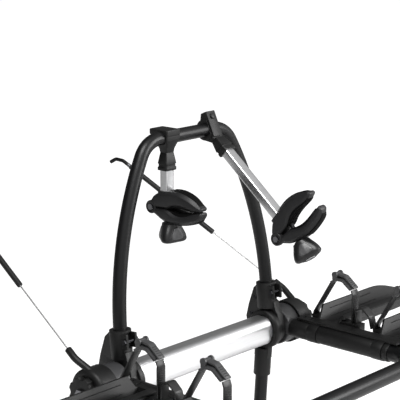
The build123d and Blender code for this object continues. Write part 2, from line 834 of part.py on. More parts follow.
def make_square_clamp(frame):
    """Clamp of the short arm: a square column with a flat cap over the hoop's bar."""
    with BuildPart() as clamp:
        with BuildSketch(frame.offset(-clamp_w / 2)):
            with Locations(((clamp_square_end - clamp_top) / 2, 0)):
                Rectangle(clamp_square_end + clamp_top, clamp_d)
            with Locations((cap_t / 2 - clamp_top, cap_reach / 2)):
                RectangleRounded(cap_t, clamp_d + cap_reach, cap_t / 3)
        extrude(amount=clamp_w)
        chamfer(clamp.edges().filter_by(Axis.X), soft_edge)
        with BuildSketch(square_to_arm(frame, clamp_square_end)):
            RectangleRounded(clamp_d, clamp_w, soft_edge)
        with BuildSketch(square_to_arm(frame, clamp_end)):
            RectangleRounded(clamp_neck_d, clamp_neck_w, soft_edge)
        loft()
        with BuildSketch(square_to_arm(frame, clamp_end)):
            Circle(spigot_r)
        extrude(amount=arm_start - clamp_end)
        with BuildSketch(frame.offset(-clamp_w)):
            Circle(tube_r + bar_fit)
        extrude(amount=2 * clamp_w, mode=Mode.SUBTRACT)
    finish(clamp, "short_arm_clamp")


def make_saddle_clamp(frame):
    """Clamp of the long arm: a round saddle and a raised lug, closed by a slanting cap."""
    strip_frame = turned(frame, strip_angle)
    with BuildPart() as clamp:
        with BuildSketch(frame.offset(-saddle_w / 2)):
            Circle(saddle_r)
        extrude(amount=saddle_w)
        with BuildSketch(strip_frame.offset(-lug_w / 2)):
            with BuildLine():
                Polyline(
                    (-strip_back, -strip_seat), (-strip_back, -strip_seat + lug_t * 2), (-lug_foot_at, lug_foot_in),
                    (0, lug_foot_in), (0, -strip_seat), close=True,
                )
            make_face()
        extrude(amount=lug_w)
        with BuildSketch(square_to_arm(frame, saddle_neck)):
            RectangleRounded(2 * saddle_r - 2 * strip_t, saddle_w, soft_edge)
        with BuildSketch(square_to_arm(frame, clamp_end)):
            RectangleRounded(clamp_neck_d, clamp_neck_w, soft_edge)
        loft()
        with BuildSketch(strip_frame.offset(-clamp_w)):
            with Locations((0, -strip_seat - saddle_r)):
                Rectangle(4 * saddle_r, 2 * saddle_r)
        extrude(amount=2 * clamp_w, mode=Mode.SUBTRACT)
        with BuildSketch(square_to_arm(frame, clamp_end)):
            Circle(spigot_r)
        extrude(amount=arm_start - clamp_end)
        with BuildSketch(frame.offset(-clamp_w)):
            Circle(tube_r + bar_fit)
        extrude(amount=2 * clamp_w, mode=Mode.SUBTRACT)
    finish(clamp, "long_arm_clamp")
    with BuildPart() as cap:
        with BuildSketch(strip_frame.offset(-lug_w / 2)):
            with Locations(((strip_ahead - strip_back) / 2, -strip_seat - strip_t / 2)):
                RectangleRounded(strip_ahead + strip_back, strip_t, soft_edge)
        extrude(amount=lug_w)
        bolt_at = strip_frame.from_local_coords((-strip_bolt_back, -strip_seat - strip_t, 0))
        with BuildSketch(Plane(origin=bolt_at, x_dir=(1, 0, 0), z_dir=-strip_frame.y_dir)):
            RegularPolygon(bolt_head_r, 6)
        extrude(amount=bolt_head_t)
    finish(cap, "long_arm_cap")


def make_collar(frame, arm):
    """Faceted collar that holds the tube in the clamp."""
    with BuildPart() as collar:
        with BuildSketch(square_to_arm(frame, clamp_end)):
            RectangleRounded(clamp_neck_d, clamp_neck_w, soft_edge)
        with BuildSketch(square_to_arm(frame, collar_waist)):
            RectangleRounded(collar_d, collar_w, arm_corner)
        loft()
        with BuildSketch(square_to_arm(frame, collar_waist)):
            RectangleRounded(collar_d - 2 * collar_step, collar_w - 2 * collar_step, arm_corner)
        extrude(amount=collar_ledge - collar_waist)
        with BuildSketch(square_to_arm(frame, collar_ledge)):
            RectangleRounded(collar_d, collar_w, arm_corner)
        extrude(amount=collar_end - collar_ledge)
        with BuildSketch(square_to_arm(frame, clamp_end - overrun)):
            Circle(spigot_r + seat)
        extrude(amount=arm_start - clamp_end + overrun, mode=Mode.SUBTRACT)
        with BuildSketch(square_to_arm(frame, arm_start)):
            RectangleRounded(arm_d + 2 * seat, arm_w + 2 * seat, arm_corner)
        extrude(amount=collar_end - arm_start + overrun, mode=Mode.SUBTRACT)
    finish(collar, f"{arm}_arm_collar")


def make_tube(frame, arm, hinge_s):
    """Aluminium tube between the collar and the upper jaw."""
    with BuildPart() as tube:
        with BuildSketch(square_to_arm(frame, arm_start)):
            RectangleRounded(arm_d, arm_w, arm_corner)
            RectangleRounded(arm_d - 2 * arm_wall, arm_w - 2 * arm_wall, arm_corner - arm_wall, mode=Mode.SUBTRACT)
        extrude(amount=hinge_s - socket_seat - arm_start)
    finish(tube, f"{arm}_arm_tube")


def jaw_outline(outer_shares, mouth_shares):
    """Side view of one jaw, from the hinge to the tip and back along the mouth."""
    outer = [(jaw_reach * a, jaw_height * b) for a, b in outer_shares]
    mouth = [(jaw_reach * a, jaw_height * b) for a, b in mouth_shares]
    with BuildSketch() as outline:
        with BuildLine():
            Line((0, 0), outer[0])
            Spline(*outer)
            Line(outer[-1], mouth[0])
            Spline(*mouth)
            Line(mouth[-1], (0, 0))
        make_face()
    return outline.sketch


def liner_outline(mouth_shares, thickness):
    """Side view of the strip that lines the mouth, thickness deep into the jaw."""
    mouth = [(jaw_reach * a, jaw_height * b) for a, b in mouth_shares]
    lined = [(r, t) for r, t in mouth if liner_from < r < liner_to]
    with BuildSketch() as outline:
        with BuildLine():
            inner = Spline(*lined)
            outer = Spline(*[(r, t + thickness) for r, t in lined])
            Line(inner @ 0, outer @ 0)
            Line(inner @ 1, outer @ 1)
        make_face()
    return outline.sketch


def make_upper_jaw(jaw, arm):
    """Upper jaw, fixed to the tube, with the hinge ears and the pocket of the draw screw."""
    with BuildPart() as upper:
        with BuildSketch(jaw.offset(-jaw_w / 2)):
            add(jaw_outline(upper_outer_shares, upper_mouth_shares))
            Circle(hinge_r)
        extrude(amount=jaw_w)
        socket_plane = Plane(
            origin=jaw.from_local_coords((hinge_n, jaw_height * socket_root_share, 0)),
            x_dir=jaw.x_dir, z_dir=jaw.y_dir,
        )
        with BuildSketch(socket_plane):
            RectangleRounded(socket_d, socket_w, arm_corner)
        extrude(amount=socket_rise - jaw_height * socket_root_share)
        with BuildSketch(Plane(
            origin=jaw.from_local_coords((hinge_n, socket_seat, 0)), x_dir=jaw.x_dir, z_dir=jaw.y_dir
        )):
            RectangleRounded(arm_d + 2 * seat, arm_w + 2 * seat, arm_corner)
        extrude(amount=jaw_height, mode=Mode.SUBTRACT)
        with BuildSketch(jaw.offset(-hinge_knuckle_w / 2 - hinge_gap)):
            Circle(hinge_r + hinge_gap)
            with Locations((0, -hinge_r)):
                Rectangle(2 * hinge_r + 2 * hinge_gap, 2 * hinge_r)
        extrude(amount=hinge_knuckle_w + 2 * hinge_gap, mode=Mode.SUBTRACT)
        with BuildSketch(jaw.offset(-pocket_w / 2)):
            pocket_high = jaw_reach * pocket_high_share
            with Locations(((pocket_low + pocket_high) / 2, (pocket_top - hinge_r) / 2)):
                Rectangle(pocket_high - pocket_low, pocket_top + hinge_r)
        extrude(amount=pocket_w, mode=Mode.SUBTRACT)
        with BuildSketch(jaw.offset(-liner_w / 2)):
            add(liner_outline(upper_mouth_shares, liner_t))
        extrude(amount=liner_w, mode=Mode.SUBTRACT)
        with BuildSketch(jaw.offset(-jaw_w)):
            Circle(pin_r + seat)
        extrude(amount=2 * jaw_w, mode=Mode.SUBTRACT)
    finish(upper, f"{arm}_upper_jaw")
    make_liner(jaw, upper_mouth_shares, liner_t, f"{arm}_upper_liner")


def make_lower_jaw(jaw, arm):
    """Lower jaw, which swings on the pin and carries the draw screw."""
    with BuildPart() as lower:
        with BuildSketch(jaw.offset(-jaw_w / 2)):
            add(jaw_outline(lower_outer_shares, lower_mouth_shares))
            Circle(hinge_r - hinge_gap)
        extrude(amount=jaw_w)
        for start in (-jaw_w / 2 - overrun, hinge_knuckle_w / 2):
            with BuildSketch(jaw.offset(start)):
                Circle(hinge_r + hinge_gap)
            extrude(amount=(jaw_w - hinge_knuckle_w) / 2 + overrun, mode=Mode.SUBTRACT)
        with BuildSketch(Plane(
            origin=jaw.from_local_coords((screw_at, -jaw_height, 0)), x_dir=jaw.x_dir, z_dir=jaw.y_dir
        )):
            Circle(screw_r + screw_slack)
        extrude(amount=2 * jaw_height, mode=Mode.SUBTRACT)
        with BuildSketch(jaw.offset(-liner_w / 2)):
            add(liner_outline(lower_mouth_shares, -liner_t))
        extrude(amount=liner_w, mode=Mode.SUBTRACT)
        with BuildSketch(jaw.offset(-jaw_w)):
            Circle(pin_r + running)
        extrude(amount=2 * jaw_w, mode=Mode.SUBTRACT)
    finish(lower, f"{arm}_lower_jaw")
    make_liner(jaw, lower_mouth_shares, -liner_t, f"{arm}_lower_liner")


def make_liner(jaw, mouth_shares, thickness, name):
    """Ribbed rubber liner of one jaw."""
    with BuildPart() as liner:
        with BuildSketch(jaw.offset(-liner_w / 2)):
            add(liner_outline(mouth_shares, thickness))
        extrude(amount=liner_w)
    finish(liner, name)


def make_pin(jaw, arm):
    """Hinge pin with a head on each side."""
    with BuildPart() as pin:
        with BuildSketch(jaw.offset(-jaw_w / 2)):
            Circle(pin_r)
        extrude(amount=jaw_w)
        for start in (-jaw_w / 2 - pin_head_t, jaw_w / 2):
            with BuildSketch(jaw.offset(start)):
                Circle(pin_head_r)
            extrude(amount=pin_head_t)
    finish(pin, f"{arm}_hinge_pin")


def make_screw(jaw, arm):
    """Draw screw with the trunnion that pulls on the upper jaw."""
    with BuildPart() as screw:
        with BuildSketch(Plane(
            origin=jaw.from_local_coords((screw_at, -screw_end, 0)), x_dir=jaw.x_dir, z_dir=jaw.y_dir
        )):
            Circle(screw_r)
        extrude(amount=screw_end + screw_top)
        with BuildSketch(jaw.offset(-trunnion_w / 2)):
            with Locations((screw_at, screw_top)):
                Circle(trunnion_r)
        extrude(amount=trunnion_w)
    finish(screw, f"{arm}_draw_screw")


def make_knob(jaw, arm, twist):
    """Three-cornered knob on the draw screw, with a panel on each flank and a lock at its end."""
    def knob_plane(depth):
        return Plane(
            origin=jaw.from_local_coords((screw_at, -knob_top - depth, 0)), x_dir=(1, 0, 0), z_dir=-jaw.y_dir
        )

    with BuildPart() as knob:
        with BuildSketch(knob_plane(0)):
            fillet(RegularPolygon(2 * knob_neck_flat_r, 3, rotation=twist).vertices(), knob_neck_corner_r)
        with BuildSketch(knob_plane(knob_height)):
            fillet(RegularPolygon(2 * knob_flat_r, 3, rotation=twist).vertices(), knob_corner_r)
        loft()
        with BuildSketch(knob_plane(0)):
            Circle(knob_collar_r)
        extrude(amount=-knob_collar_t)
        with BuildSketch(knob_plane(knob_height)):
            Circle(knob_cup)
        extrude(amount=-knob_cup / 2, mode=Mode.SUBTRACT)
        with BuildSketch(knob_plane(-knob_collar_t)):
            Circle(screw_r + running)
        extrude(amount=screw_end - knob_top + knob_collar_t + side_gap, mode=Mode.SUBTRACT)
        for turn in range(3):
            with BuildSketch(panel_plane(knob_plane(knob_height / 2), twist, turn)):
                fillet(RegularPolygon(panel_r, 3, rotation=180).vertices(), panel_r / 3)
            extrude(amount=-panel_t, mode=Mode.SUBTRACT)
    finish(knob, f"{arm}_knob")
    with BuildPart() as trim:
        for turn in range(3):
            with BuildSketch(panel_plane(knob_plane(knob_height / 2), twist, turn).offset(-panel_t)):
                fillet(RegularPolygon(panel_r - side_gap, 3, rotation=180).vertices(), panel_r / 3)
            extrude(amount=panel_t)
        with BuildSketch(knob_plane(knob_height - knob_cup / 2)):
            Circle(lock_r)
        extrude(amount=knob_cup / 3)
    finish(trim, f"{arm}_knob_trim")


def panel_plane(middle, twist, turn):
    """Plane on one flank of a knob; its own x runs down the flank."""
    angle = math.radians(twist + 60 + 120 * turn)
    slope = math.atan2(knob_flat_r - knob_neck_flat_r, knob_height)
    out = middle.x_dir * math.cos(angle) + middle.y_dir * math.sin(angle)
    return Plane(
        origin=middle.origin + out * (knob_flat_r + knob_neck_flat_r) / 2,
        x_dir=middle.z_dir * math.cos(slope) + out * math.sin(slope),
        z_dir=out * math.cos(slope) - middle.z_dir * math.sin(slope),
    )


for arm, x, tilt, hinge_s, opening, twist in (
    ("short", short_arm_x, short_arm_tilt, short_hinge_s, short_open, short_knob_twist),
    ("long", long_arm_x, long_arm_tilt, long_hinge_s, long_open, long_knob_twist),
):
    frame = arm_plane(x, tilt)
    jaw = Plane(origin=frame.from_local_coords((hinge_s, hinge_n, 0)), x_dir=-frame.y_dir, z_dir=-frame.z_dir)
    swung = turned(jaw, -opening)
    if arm == "short":
        make_square_clamp(frame)
    else:
        make_saddle_clamp(frame)
    make_collar(frame, arm)
    make_tube(frame, arm, hinge_s)
    make_upper_jaw(jaw, arm)
    make_pin(jaw, arm)
    make_lower_jaw(swung, arm)
    make_screw(swung, arm)
    make_knob(swung, arm, twist)

# Steel upper cables: wire, plastic sleeve, crimp and tailgate hook
sleeve_from = Vector(*at(*cable_route[-1]))
sleeve_to = sleeve_from + outlet_out * sleeve_length
crimp_to = sleeve_to + outlet_out * crimp_length
with BuildPart() as cable_wire:
    with BuildLine() as wire_path:
        FilletPolyline(*[at(*point) for point in cable_route], radius=cable_bend_r)
    with BuildSketch(Plane(origin=wire_path.wire() @ 0, z_dir=wire_path.wire() % 0)):
        Circle(cable_r)
    sweep(path=wire_path.wire())
finish_pair(cable_wire, "cable_wire")
with BuildPart() as cable_sleeve:
    with BuildSketch(Plane(origin=sleeve_from, z_dir=outlet_out)):
        Circle(sleeve_cable_r)
    extrude(amount=sleeve_length)
finish_pair(cable_sleeve, "cable_sleeve")
with BuildPart() as cable_crimp:
    with BuildSketch(Plane(origin=sleeve_to, z_dir=outlet_out)):
        Circle(crimp_r)
    extrude(amount=crimp_length)
finish_pair(cable_crimp, "cable_crimp")
with BuildPart() as cable_hook:
    with BuildLine() as hook_path:
        FilletPolyline(
            crimp_to,
            crimp_to + outlet_out * hook_shank,
            crimp_to + Vector(*hook_steps[0]),
            crimp_to + Vector(*hook_steps[1]),
            radius=hook_bend_r,
        )
    with BuildSketch(Plane(origin=hook_path.wire() @ 0, z_dir=hook_path.wire() % 0)):
        Circle(hook_r)
    sweep(path=hook_path.wire())
finish_pair(cable_hook, "cable_hook")
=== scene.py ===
"""Looks of the trunk mounted platform rack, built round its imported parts.

Everything is in metres in the part's own frame: X to the car's right, Y forward to the tailgate
and Z up. Sizes of pieces are written in millimetres and turned to metres where a point is made.
"""

import logging
import math
from contextlib import contextmanager
from dataclasses import dataclass, field
from enum import Enum
from functools import partial
from typing import Iterable, Iterator, Sequence

import bmesh
import bpy
from bpy.types import GeometryNodeTree, ID, Material, Mesh, Node, NodeSocket, NodeTree, Object, World
from mathutils import Matrix, Vector


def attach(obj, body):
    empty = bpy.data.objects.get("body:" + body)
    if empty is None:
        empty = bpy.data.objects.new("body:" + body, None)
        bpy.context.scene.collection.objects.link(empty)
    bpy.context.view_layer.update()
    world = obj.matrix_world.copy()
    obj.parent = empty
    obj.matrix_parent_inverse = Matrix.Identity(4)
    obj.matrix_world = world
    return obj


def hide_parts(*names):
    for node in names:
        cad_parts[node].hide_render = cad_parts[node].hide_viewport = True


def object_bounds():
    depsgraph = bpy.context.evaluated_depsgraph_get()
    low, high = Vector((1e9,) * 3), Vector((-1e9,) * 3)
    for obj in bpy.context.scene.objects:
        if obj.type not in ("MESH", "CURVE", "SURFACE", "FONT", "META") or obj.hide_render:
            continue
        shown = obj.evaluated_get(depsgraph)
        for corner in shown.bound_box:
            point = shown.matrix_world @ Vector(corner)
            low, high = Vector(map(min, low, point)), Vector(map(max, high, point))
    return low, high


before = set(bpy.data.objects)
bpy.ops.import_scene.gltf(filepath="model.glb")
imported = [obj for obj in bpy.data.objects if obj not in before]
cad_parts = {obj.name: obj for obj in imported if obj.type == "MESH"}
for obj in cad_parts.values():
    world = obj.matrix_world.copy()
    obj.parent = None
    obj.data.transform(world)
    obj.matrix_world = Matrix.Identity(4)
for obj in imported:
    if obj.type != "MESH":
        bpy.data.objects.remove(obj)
CAD_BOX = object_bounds()

log = logging.getLogger("rack")
MM = 0.001
HUB = Vector((0.0, -50.0, 250.0))
RIGHT = Vector((1.0, 0.0, 0.0))
FORWARD = Vector((0.0, 1.0, 0.0))
UP = Vector((0.0, 0.0, 1.0))
# Angles in degrees over which an edge is rounded: on drawn pieces and on mouldings
PIECE_ANGLE, MOULD_ANGLE = 24.0, 32.0
# Degrees under which neighbouring faces of a moulding count as one flat face
FLAT_ANGLE = 0.6
# Metres within which points are taken as one, on drawn pieces and on mouldings
PIECE_WELD, MOULD_WELD = 1e-6, 2e-6
# How far the grain moves a surface's roughness up and down
GLOSS_SPREAD = 0.06
Pair = tuple[float, float]
Triple = tuple[float, float, float]


class Side(Enum):
    """The two sides of the rack, with the sign of their X."""

    LEFT = "l"
    RIGHT = "r"

    @property
    def sign(self) -> float:
        """Minus one on the left and one on the right."""
        return 1.0 if self is Side.RIGHT else -1.0


def linear(colour: str) -> tuple[float, float, float, float]:
    """Turns an sRGB hex colour to the linear one that the shader takes.

    Args:
        colour: six hex digits.

    Returns:
        Red, green, blue and alpha.
    """
    shares = [int(colour[i:i + 2], 16) / 255 for i in (0, 2, 4)]
    bent = [s / 12.92 if s <= 0.04045 else ((s + 0.055) / 1.055) ** 2.4 for s in shares]
    return (*bent, 1.0)


def hub(x: float, y: float, z: float) -> Vector:
    """A point in millimetres from the hub axis, in metres in the part's frame."""
    return (Vector((x, y, z)) + HUB) * MM


def add_node(tree: NodeTree, kind: str, settings: dict | None = None, **links) -> Node:
    """Adds one node with its settings and links.

    Args:
        tree: the tree that gets the node.
        kind: the node's type name.
        settings: properties of the node, and what its inputs get by name or number: a value or a socket.
        links: sockets for inputs; an underscore stands for a space.

    Returns:
        The new node.
    """
    node = tree.nodes.new(kind)
    for key, value in (settings or {}).items():
        if isinstance(value, NodeSocket):
            tree.links.new(value, node.inputs[key])
        elif isinstance(key, int) or key in node.inputs:
            node.inputs[key].default_value = value
        else:
            setattr(node, key, value)
    for key, socket in links.items():
        tree.links.new(socket, node.inputs[key.replace("_", " ")])
    return node


def fresh_tree(owner: Material | World) -> NodeTree:
    """Turns nodes on for a new material or world and empties its tree.

    Args:
        owner: the material or world.

    Returns:
        Its empty node tree.
    """
    owner.use_nodes = True
    owner.node_tree.nodes.clear()
    return owner.node_tree


def noise(tree: NodeTree, place: NodeSocket, scale: float, detail: float) -> NodeSocket:
    """The value of a noise texture."""
    made = add_node(tree, "ShaderNodeTexNoise", {"Scale": scale, "Detail": detail}, Vector=place)
    return made.outputs["Fac"]


def two_tone(tree: NodeTree, value: NodeSocket, colour: str, spread: float) -> NodeSocket:
    """A colour that runs with a value from a darker to a lighter tone of itself.

    Args:
        tree: the material's tree.
        value: what the colour runs with, from 0 at the dark tone to 1 at the light one.
        colour: six hex digits.
        spread: how far each tone lies from the colour, as a share of it.

    Returns:
        The colour's socket.
    """
    base = linear(colour)[:3]
    low = tuple(c * (1 - spread) for c in base) + (1.0,)
    high = tuple(min(1.0, c * (1 + spread)) for c in base) + (1.0,)
    return add_node(tree, "ShaderNodeMix", {"data_type": "RGBA", 6: low, 7: high, 0: value}).outputs[2]


def ramp(tree: NodeTree, value: NodeSocket, start: Pair, end: Pair) -> NodeSocket:
    """Moves a value from one range to another and keeps it inside.

    Args:
        tree: the tree that holds the value.
        value: the value's socket.
        start: the range that the value has.
        end: the range that it gets.

    Returns:
        The moved value's socket.
    """
    made = add_node(tree, "ShaderNodeMapRange", {
        "From Min": start[0], "From Max": start[1], "To Min": end[0], "To Max": end[1]}, Value=value)
    return made.outputs[0]


@dataclass(frozen=True)
class Finish:
    """A surface finish: its colour, gloss and the texture that its making leaves."""

    name: str
    colour: str
    slot: str
    roughness: float = 0.5
    metallic: float = 0.0
    specular: float = 0.5
    coat: float = 0.0
    grain_mm: float = 1.2
    grain_depth_mm: float = 0.05
    cloud: float = 0.12
    cloud_mm: float = 45.0
    stretch: Triple = (1.0, 1.0, 1.0)
    turn: Triple = (0.0, 0.0, 0.0)

    def material(self) -> Material:
        """Builds the material once and hands it out again after that.

        Returns:
            The material.
        """
        known = bpy.data.materials.get(self.name)
        if known:
            return known
        made = bpy.data.materials.new(self.name)
        tree = fresh_tree(made)
        place = add_node(tree, "ShaderNodeTexCoord").outputs["Object"]
        laid = add_node(tree, "ShaderNodeMapping", {"Rotation": self.turn, "Scale": self.stretch},
                        Vector=place).outputs[0]
        grain = noise(tree, laid, 1 / (self.grain_mm * MM), 3.0)
        glossy, dull = self.roughness - GLOSS_SPREAD, self.roughness + GLOSS_SPREAD
        relief = add_node(tree, "ShaderNodeBump", {"Distance": self.grain_depth_mm * MM, "Strength": 0.6},
                          Height=grain)
        shader = add_node(tree, "ShaderNodeBsdfPrincipled", {
            "Metallic": self.metallic, "Roughness": self.roughness, "Specular IOR Level": self.specular,
            "Coat Weight": self.coat, "Coat Roughness": 0.25,
        }, Base_Color=self.tint(tree, place, laid), Roughness=ramp(tree, grain, (0.0, 1.0), (glossy, dull)),
            Normal=relief.outputs[0])
        add_node(tree, "ShaderNodeOutputMaterial", {0: shader.outputs[0]})
        return made

    def tint(self, tree: NodeTree, place: NodeSocket, laid: NodeSocket) -> NodeSocket:
        """The colour, lighter and darker in soft clouds.

        Args:
            tree: the material's tree.
            place: the object coordinates.
            laid: the same coordinates, turned and stretched with the grain.

        Returns:
            The colour's socket.
        """
        return two_tone(tree, noise(tree, place, 1 / (self.cloud_mm * MM), 2.0), self.colour, self.cloud)


@dataclass(frozen=True)
class BrushedFinish(Finish):
    """Metal with fine parallel brush lines; its stretch draws the noise out along them."""

    brush: float = 0.10

    def tint(self, tree: NodeTree, place: NodeSocket, laid: NodeSocket) -> NodeSocket:
        """The colour in light and dark brush lines."""
        return two_tone(tree, noise(tree, laid, 0.45 / (self.grain_mm * MM), 4.0), self.colour, self.brush)


# Glass-filled nylon from a spark-eroded mould: dull, very fine grain
nylon = partial(Finish, slot="grey_nylon", grain_mm=1.0, grain_depth_mm=0.04)
BLACK_NYLON = nylon("black_glass_filled_nylon", "131313", slot="black_nylon", roughness=0.46, specular=0.27,
                    grain_mm=0.9)
CHARCOAL_NYLON = nylon("charcoal_glass_filled_nylon", "1b1b1c", roughness=0.42, specular=0.30, grain_mm=0.9)
KNOB_NYLON = nylon("polished_knob_nylon", "151516", roughness=0.33, specular=0.38, grain_mm=1.6,
                   grain_depth_mm=0.02)
LEVER_NYLON = nylon("ratchet_grey_nylon", "3c3c3d", roughness=0.38, specular=0.4, grain_depth_mm=0.03)
DRUM_NYLON = nylon("grey_hub_nylon", "323233", roughness=0.42, specular=0.36)
# Polyester powder coat on steel tube: satin, with a faint orange peel
SATIN_COAT = Finish("black_satin_powder_coat", "09090a", "black_coat", 0.36, specular=0.26, coat=0.03,
                    grain_mm=2.2, grain_depth_mm=0.05, cloud=0.05)
# Drawn and brushed aluminium tube under a clear anodised layer
CROSS_BRUSHED = BrushedFinish("brushed_anodised_aluminium_cross", "e2e2e3", "brushed_silver", 0.38, 1.0,
                              grain_mm=0.8, grain_depth_mm=0.02, stretch=(0.04, 1.0, 1.0), brush=0.08)
# Turned steel, plated, blackened or polished
steel = partial(Finish, slot="zinc_steel", metallic=1.0, grain_mm=1.5, grain_depth_mm=0.02)
ZINC = steel("zinc_plated_steel", "77777a", roughness=0.36)
BLACK_STEEL = steel("black_oxide_steel", "2c2c2e", roughness=0.42)
LOCK_STEEL = steel("polished_lock_steel", "c4c4c6", roughness=0.26)
# Moulded natural rubber: black, dull, slightly open pored
RUBBER = Finish("moulded_black_rubber", "030303", "rubber", 0.62, specular=0.10, grain_mm=0.8,
                grain_depth_mm=0.08)
SLEEVE_RUBBER = Finish("extruded_rubber_sleeve", "121212", "sleeve_rubber", 0.50, specular=0.35, grain_mm=1.6,
                       grain_depth_mm=0.05)
# Soft polyurethane ladder strap
STRAP_PLASTIC = Finish("ladder_strap_polyurethane", "1b1b1b", "strap_plastic", 0.40, specular=0.35,
                       grain_mm=1.0, grain_depth_mm=0.03)
# Smooth moulded ABS panel let into the knobs
PANEL_PLASTIC = Finish("polished_abs_panel", "3c3c3d", "panel_plastic", 0.36, coat=0.1, grain_mm=3.0,
                       grain_depth_mm=0.01, cloud=0.05)
# Galvanised wire rope
WIRE = Finish("galvanised_wire_rope", "b4b4b4", "steel_cable", 0.35, 1.0, grain_mm=0.9, grain_depth_mm=0.12,
              cloud=0.05)


@dataclass(frozen=True)
class Axes:
    """A set of square axes in millimetres, with points handed out in metres."""

    origin: Vector
    a: Vector
    b: Vector
    c: Vector

    def at(self, a: float, b: float, c: float = 0.0) -> Vector:
        """The point at these three distances along the axes."""
        return (self.origin + self.a * a + self.b * b + self.c * c) * MM

    def swung(self, degrees: float) -> "Axes":
        """The same axes turned in their a-b plane, a towards minus b."""
        cos, sin = math.cos(math.radians(degrees)), math.sin(math.radians(degrees))
        return Axes(self.origin, self.a * cos - self.b * sin, self.a * sin + self.b * cos, self.c)


# The part's own axes, and the same ones at the middle of the hub axis
HERE = Axes(Vector((0, 0, 0)), RIGHT, FORWARD, UP)
AT_HUB = Axes(HUB, RIGHT, FORWARD, UP)


@dataclass
class Solid:
    """Points and faces of one or more closed shells."""

    points: list[Vector] = field(default_factory=list)
    faces: list[tuple[int, ...]] = field(default_factory=list)

    def join(self, *others: "Solid") -> "Solid":
        """Takes the shells of other solids into this one.

        Args:
            others: the solids whose shells are taken in.

        Returns:
            This solid.
        """
        for other in others:
            start = len(self.points)
            self.points += other.points
            self.faces += [tuple(i + start for i in f) for f in other.faces]
        return self


def loft(rings: Sequence[Sequence[Vector]], loop: bool = False) -> Solid:
    """Skins a row of rings that have the same number of points.

    Args:
        rings: closed rings, in order.
        loop: whether the last ring joins the first, as in a hollow ring.

    Returns:
        A closed shell, with flat ends unless it is a loop.
    """
    count = len(rings[0])
    points = [p for ring in rings for p in ring]
    faces: list[tuple[int, ...]] = []
    for k in range(len(rings) if loop else len(rings) - 1):
        here, there = k * count, ((k + 1) % len(rings)) * count
        for i in range(count):
            after = (i + 1) % count
            faces.append((here + i, here + after, there + after, there + i))
    if not loop:
        faces.append(tuple(reversed(range(count))))
        faces.append(tuple(range(len(points) - count, len(points))))
    return Solid(points, faces)


def box(axes: Axes, a: Pair, b: Pair, c: Pair) -> Solid:
    """A block between two distances along each axis."""
    outline = ((a[0], b[0]), (a[1], b[0]), (a[1], b[1]), (a[0], b[1]))
    return loft([[axes.at(p, q, r) for p, q in outline] for r in c])


def brick(half: Triple) -> Solid:
    """A block about the origin, from half its size along each axis."""
    return box(HERE, *((-h, h) for h in half))


def turning(profile: Sequence[Pair], axes: Axes, steps: int = 48, loop: bool = False) -> Solid:
    """A turned shape about the c axis.

    Args:
        profile: radius and distance along c, in order.
        axes: the axes whose c is the turning axis.
        steps: points on each circle.
        loop: whether the profile closes on itself, as for a ring.

    Returns:
        The closed shell.
    """
    swing = [2 * math.pi * i / steps for i in range(steps)]
    return loft([[axes.at(r * math.cos(t), r * math.sin(t), c) for t in swing] for r, c in profile], loop)


def screw_head(radius: float) -> Solid:
    """A domed screw head with a hexagonal socket, standing on its c axis.

    Args:
        radius: the head's radius in millimetres.

    Returns:
        Its shells.
    """
    dome = turning([(radius, -1.0), (radius, 0.9), (radius * 0.82, 1.7), (radius * 0.55, 1.9)], HERE, 24)
    return dome.join(turning([(radius * 0.5, 1.4), (radius * 0.5, 2.1), (radius * 0.34, 2.1),
                              (radius * 0.34, 1.6)], HERE, 6))


def smooth_line(points: Sequence[Pair], count: int) -> list[Pair]:
    """A smooth line through given points, in even steps along it.

    Args:
        points: the points, in order.
        count: how many points to give back.

    Returns:
        Points on the line, its two ends among them.
    """
    ends = [tuple(2 * p - q for p, q in zip(points[0], points[1])), *points,
            tuple(2 * p - q for p, q in zip(points[-1], points[-2]))]
    fine: list[Pair] = []
    steps = 12
    for before, start, end, after in zip(ends, ends[1:], ends[2:], ends[3:]):
        for k in range(steps):
            t = k / steps
            fine.append(tuple(
                0.5 * (2 * q + (r - p) * t + (2 * p - 5 * q + 4 * r - s) * t ** 2
                       + (3 * q - p - 3 * r + s) * t ** 3)
                for p, q, r, s in zip(before, start, end, after)))
    fine.append(tuple(points[-1]))
    lengths = [0.0]
    for p, q in zip(fine, fine[1:]):
        lengths.append(lengths[-1] + math.dist(p, q))
    found, at = [], 0
    for k in range(count):
        goal = lengths[-1] * k / (count - 1)
        while at < len(fine) - 2 and lengths[at + 1] < goal:
            at += 1
        share = (goal - lengths[at]) / max(lengths[at + 1] - lengths[at], 1e-9)
        found.append(tuple(p + (q - p) * min(share, 1.0) for p, q in zip(fine[at], fine[at + 1])))
    return found


def between(points: Sequence[Pair], at: float) -> float:
    """The height of a broken line at one place along it.

    Args:
        points: the line's corners, each a place and a height, in order.
        at: the place.

    Returns:
        The height there, or the last one beyond the end.
    """
    for (a, low), (b, high) in zip(points, points[1:]):
        if a <= at <= b:
            return low + (high - low) * (at - a) / (b - a)
    return points[-1][1]


def arc(middle: Pair, r: float, start: float, end: float, steps: int) -> list[Pair]:
    """Points on an arc of a circle.

    Args:
        middle: the circle's middle.
        r: its radius.
        start: the first angle in radians.
        end: the last angle.
        steps: how many pieces the arc has.

    Returns:
        The points, both ends among them.
    """
    swing = [start + (end - start) * k / steps for k in range(steps + 1)]
    return [(middle[0] + r * math.cos(t), middle[1] + r * math.sin(t)) for t in swing]


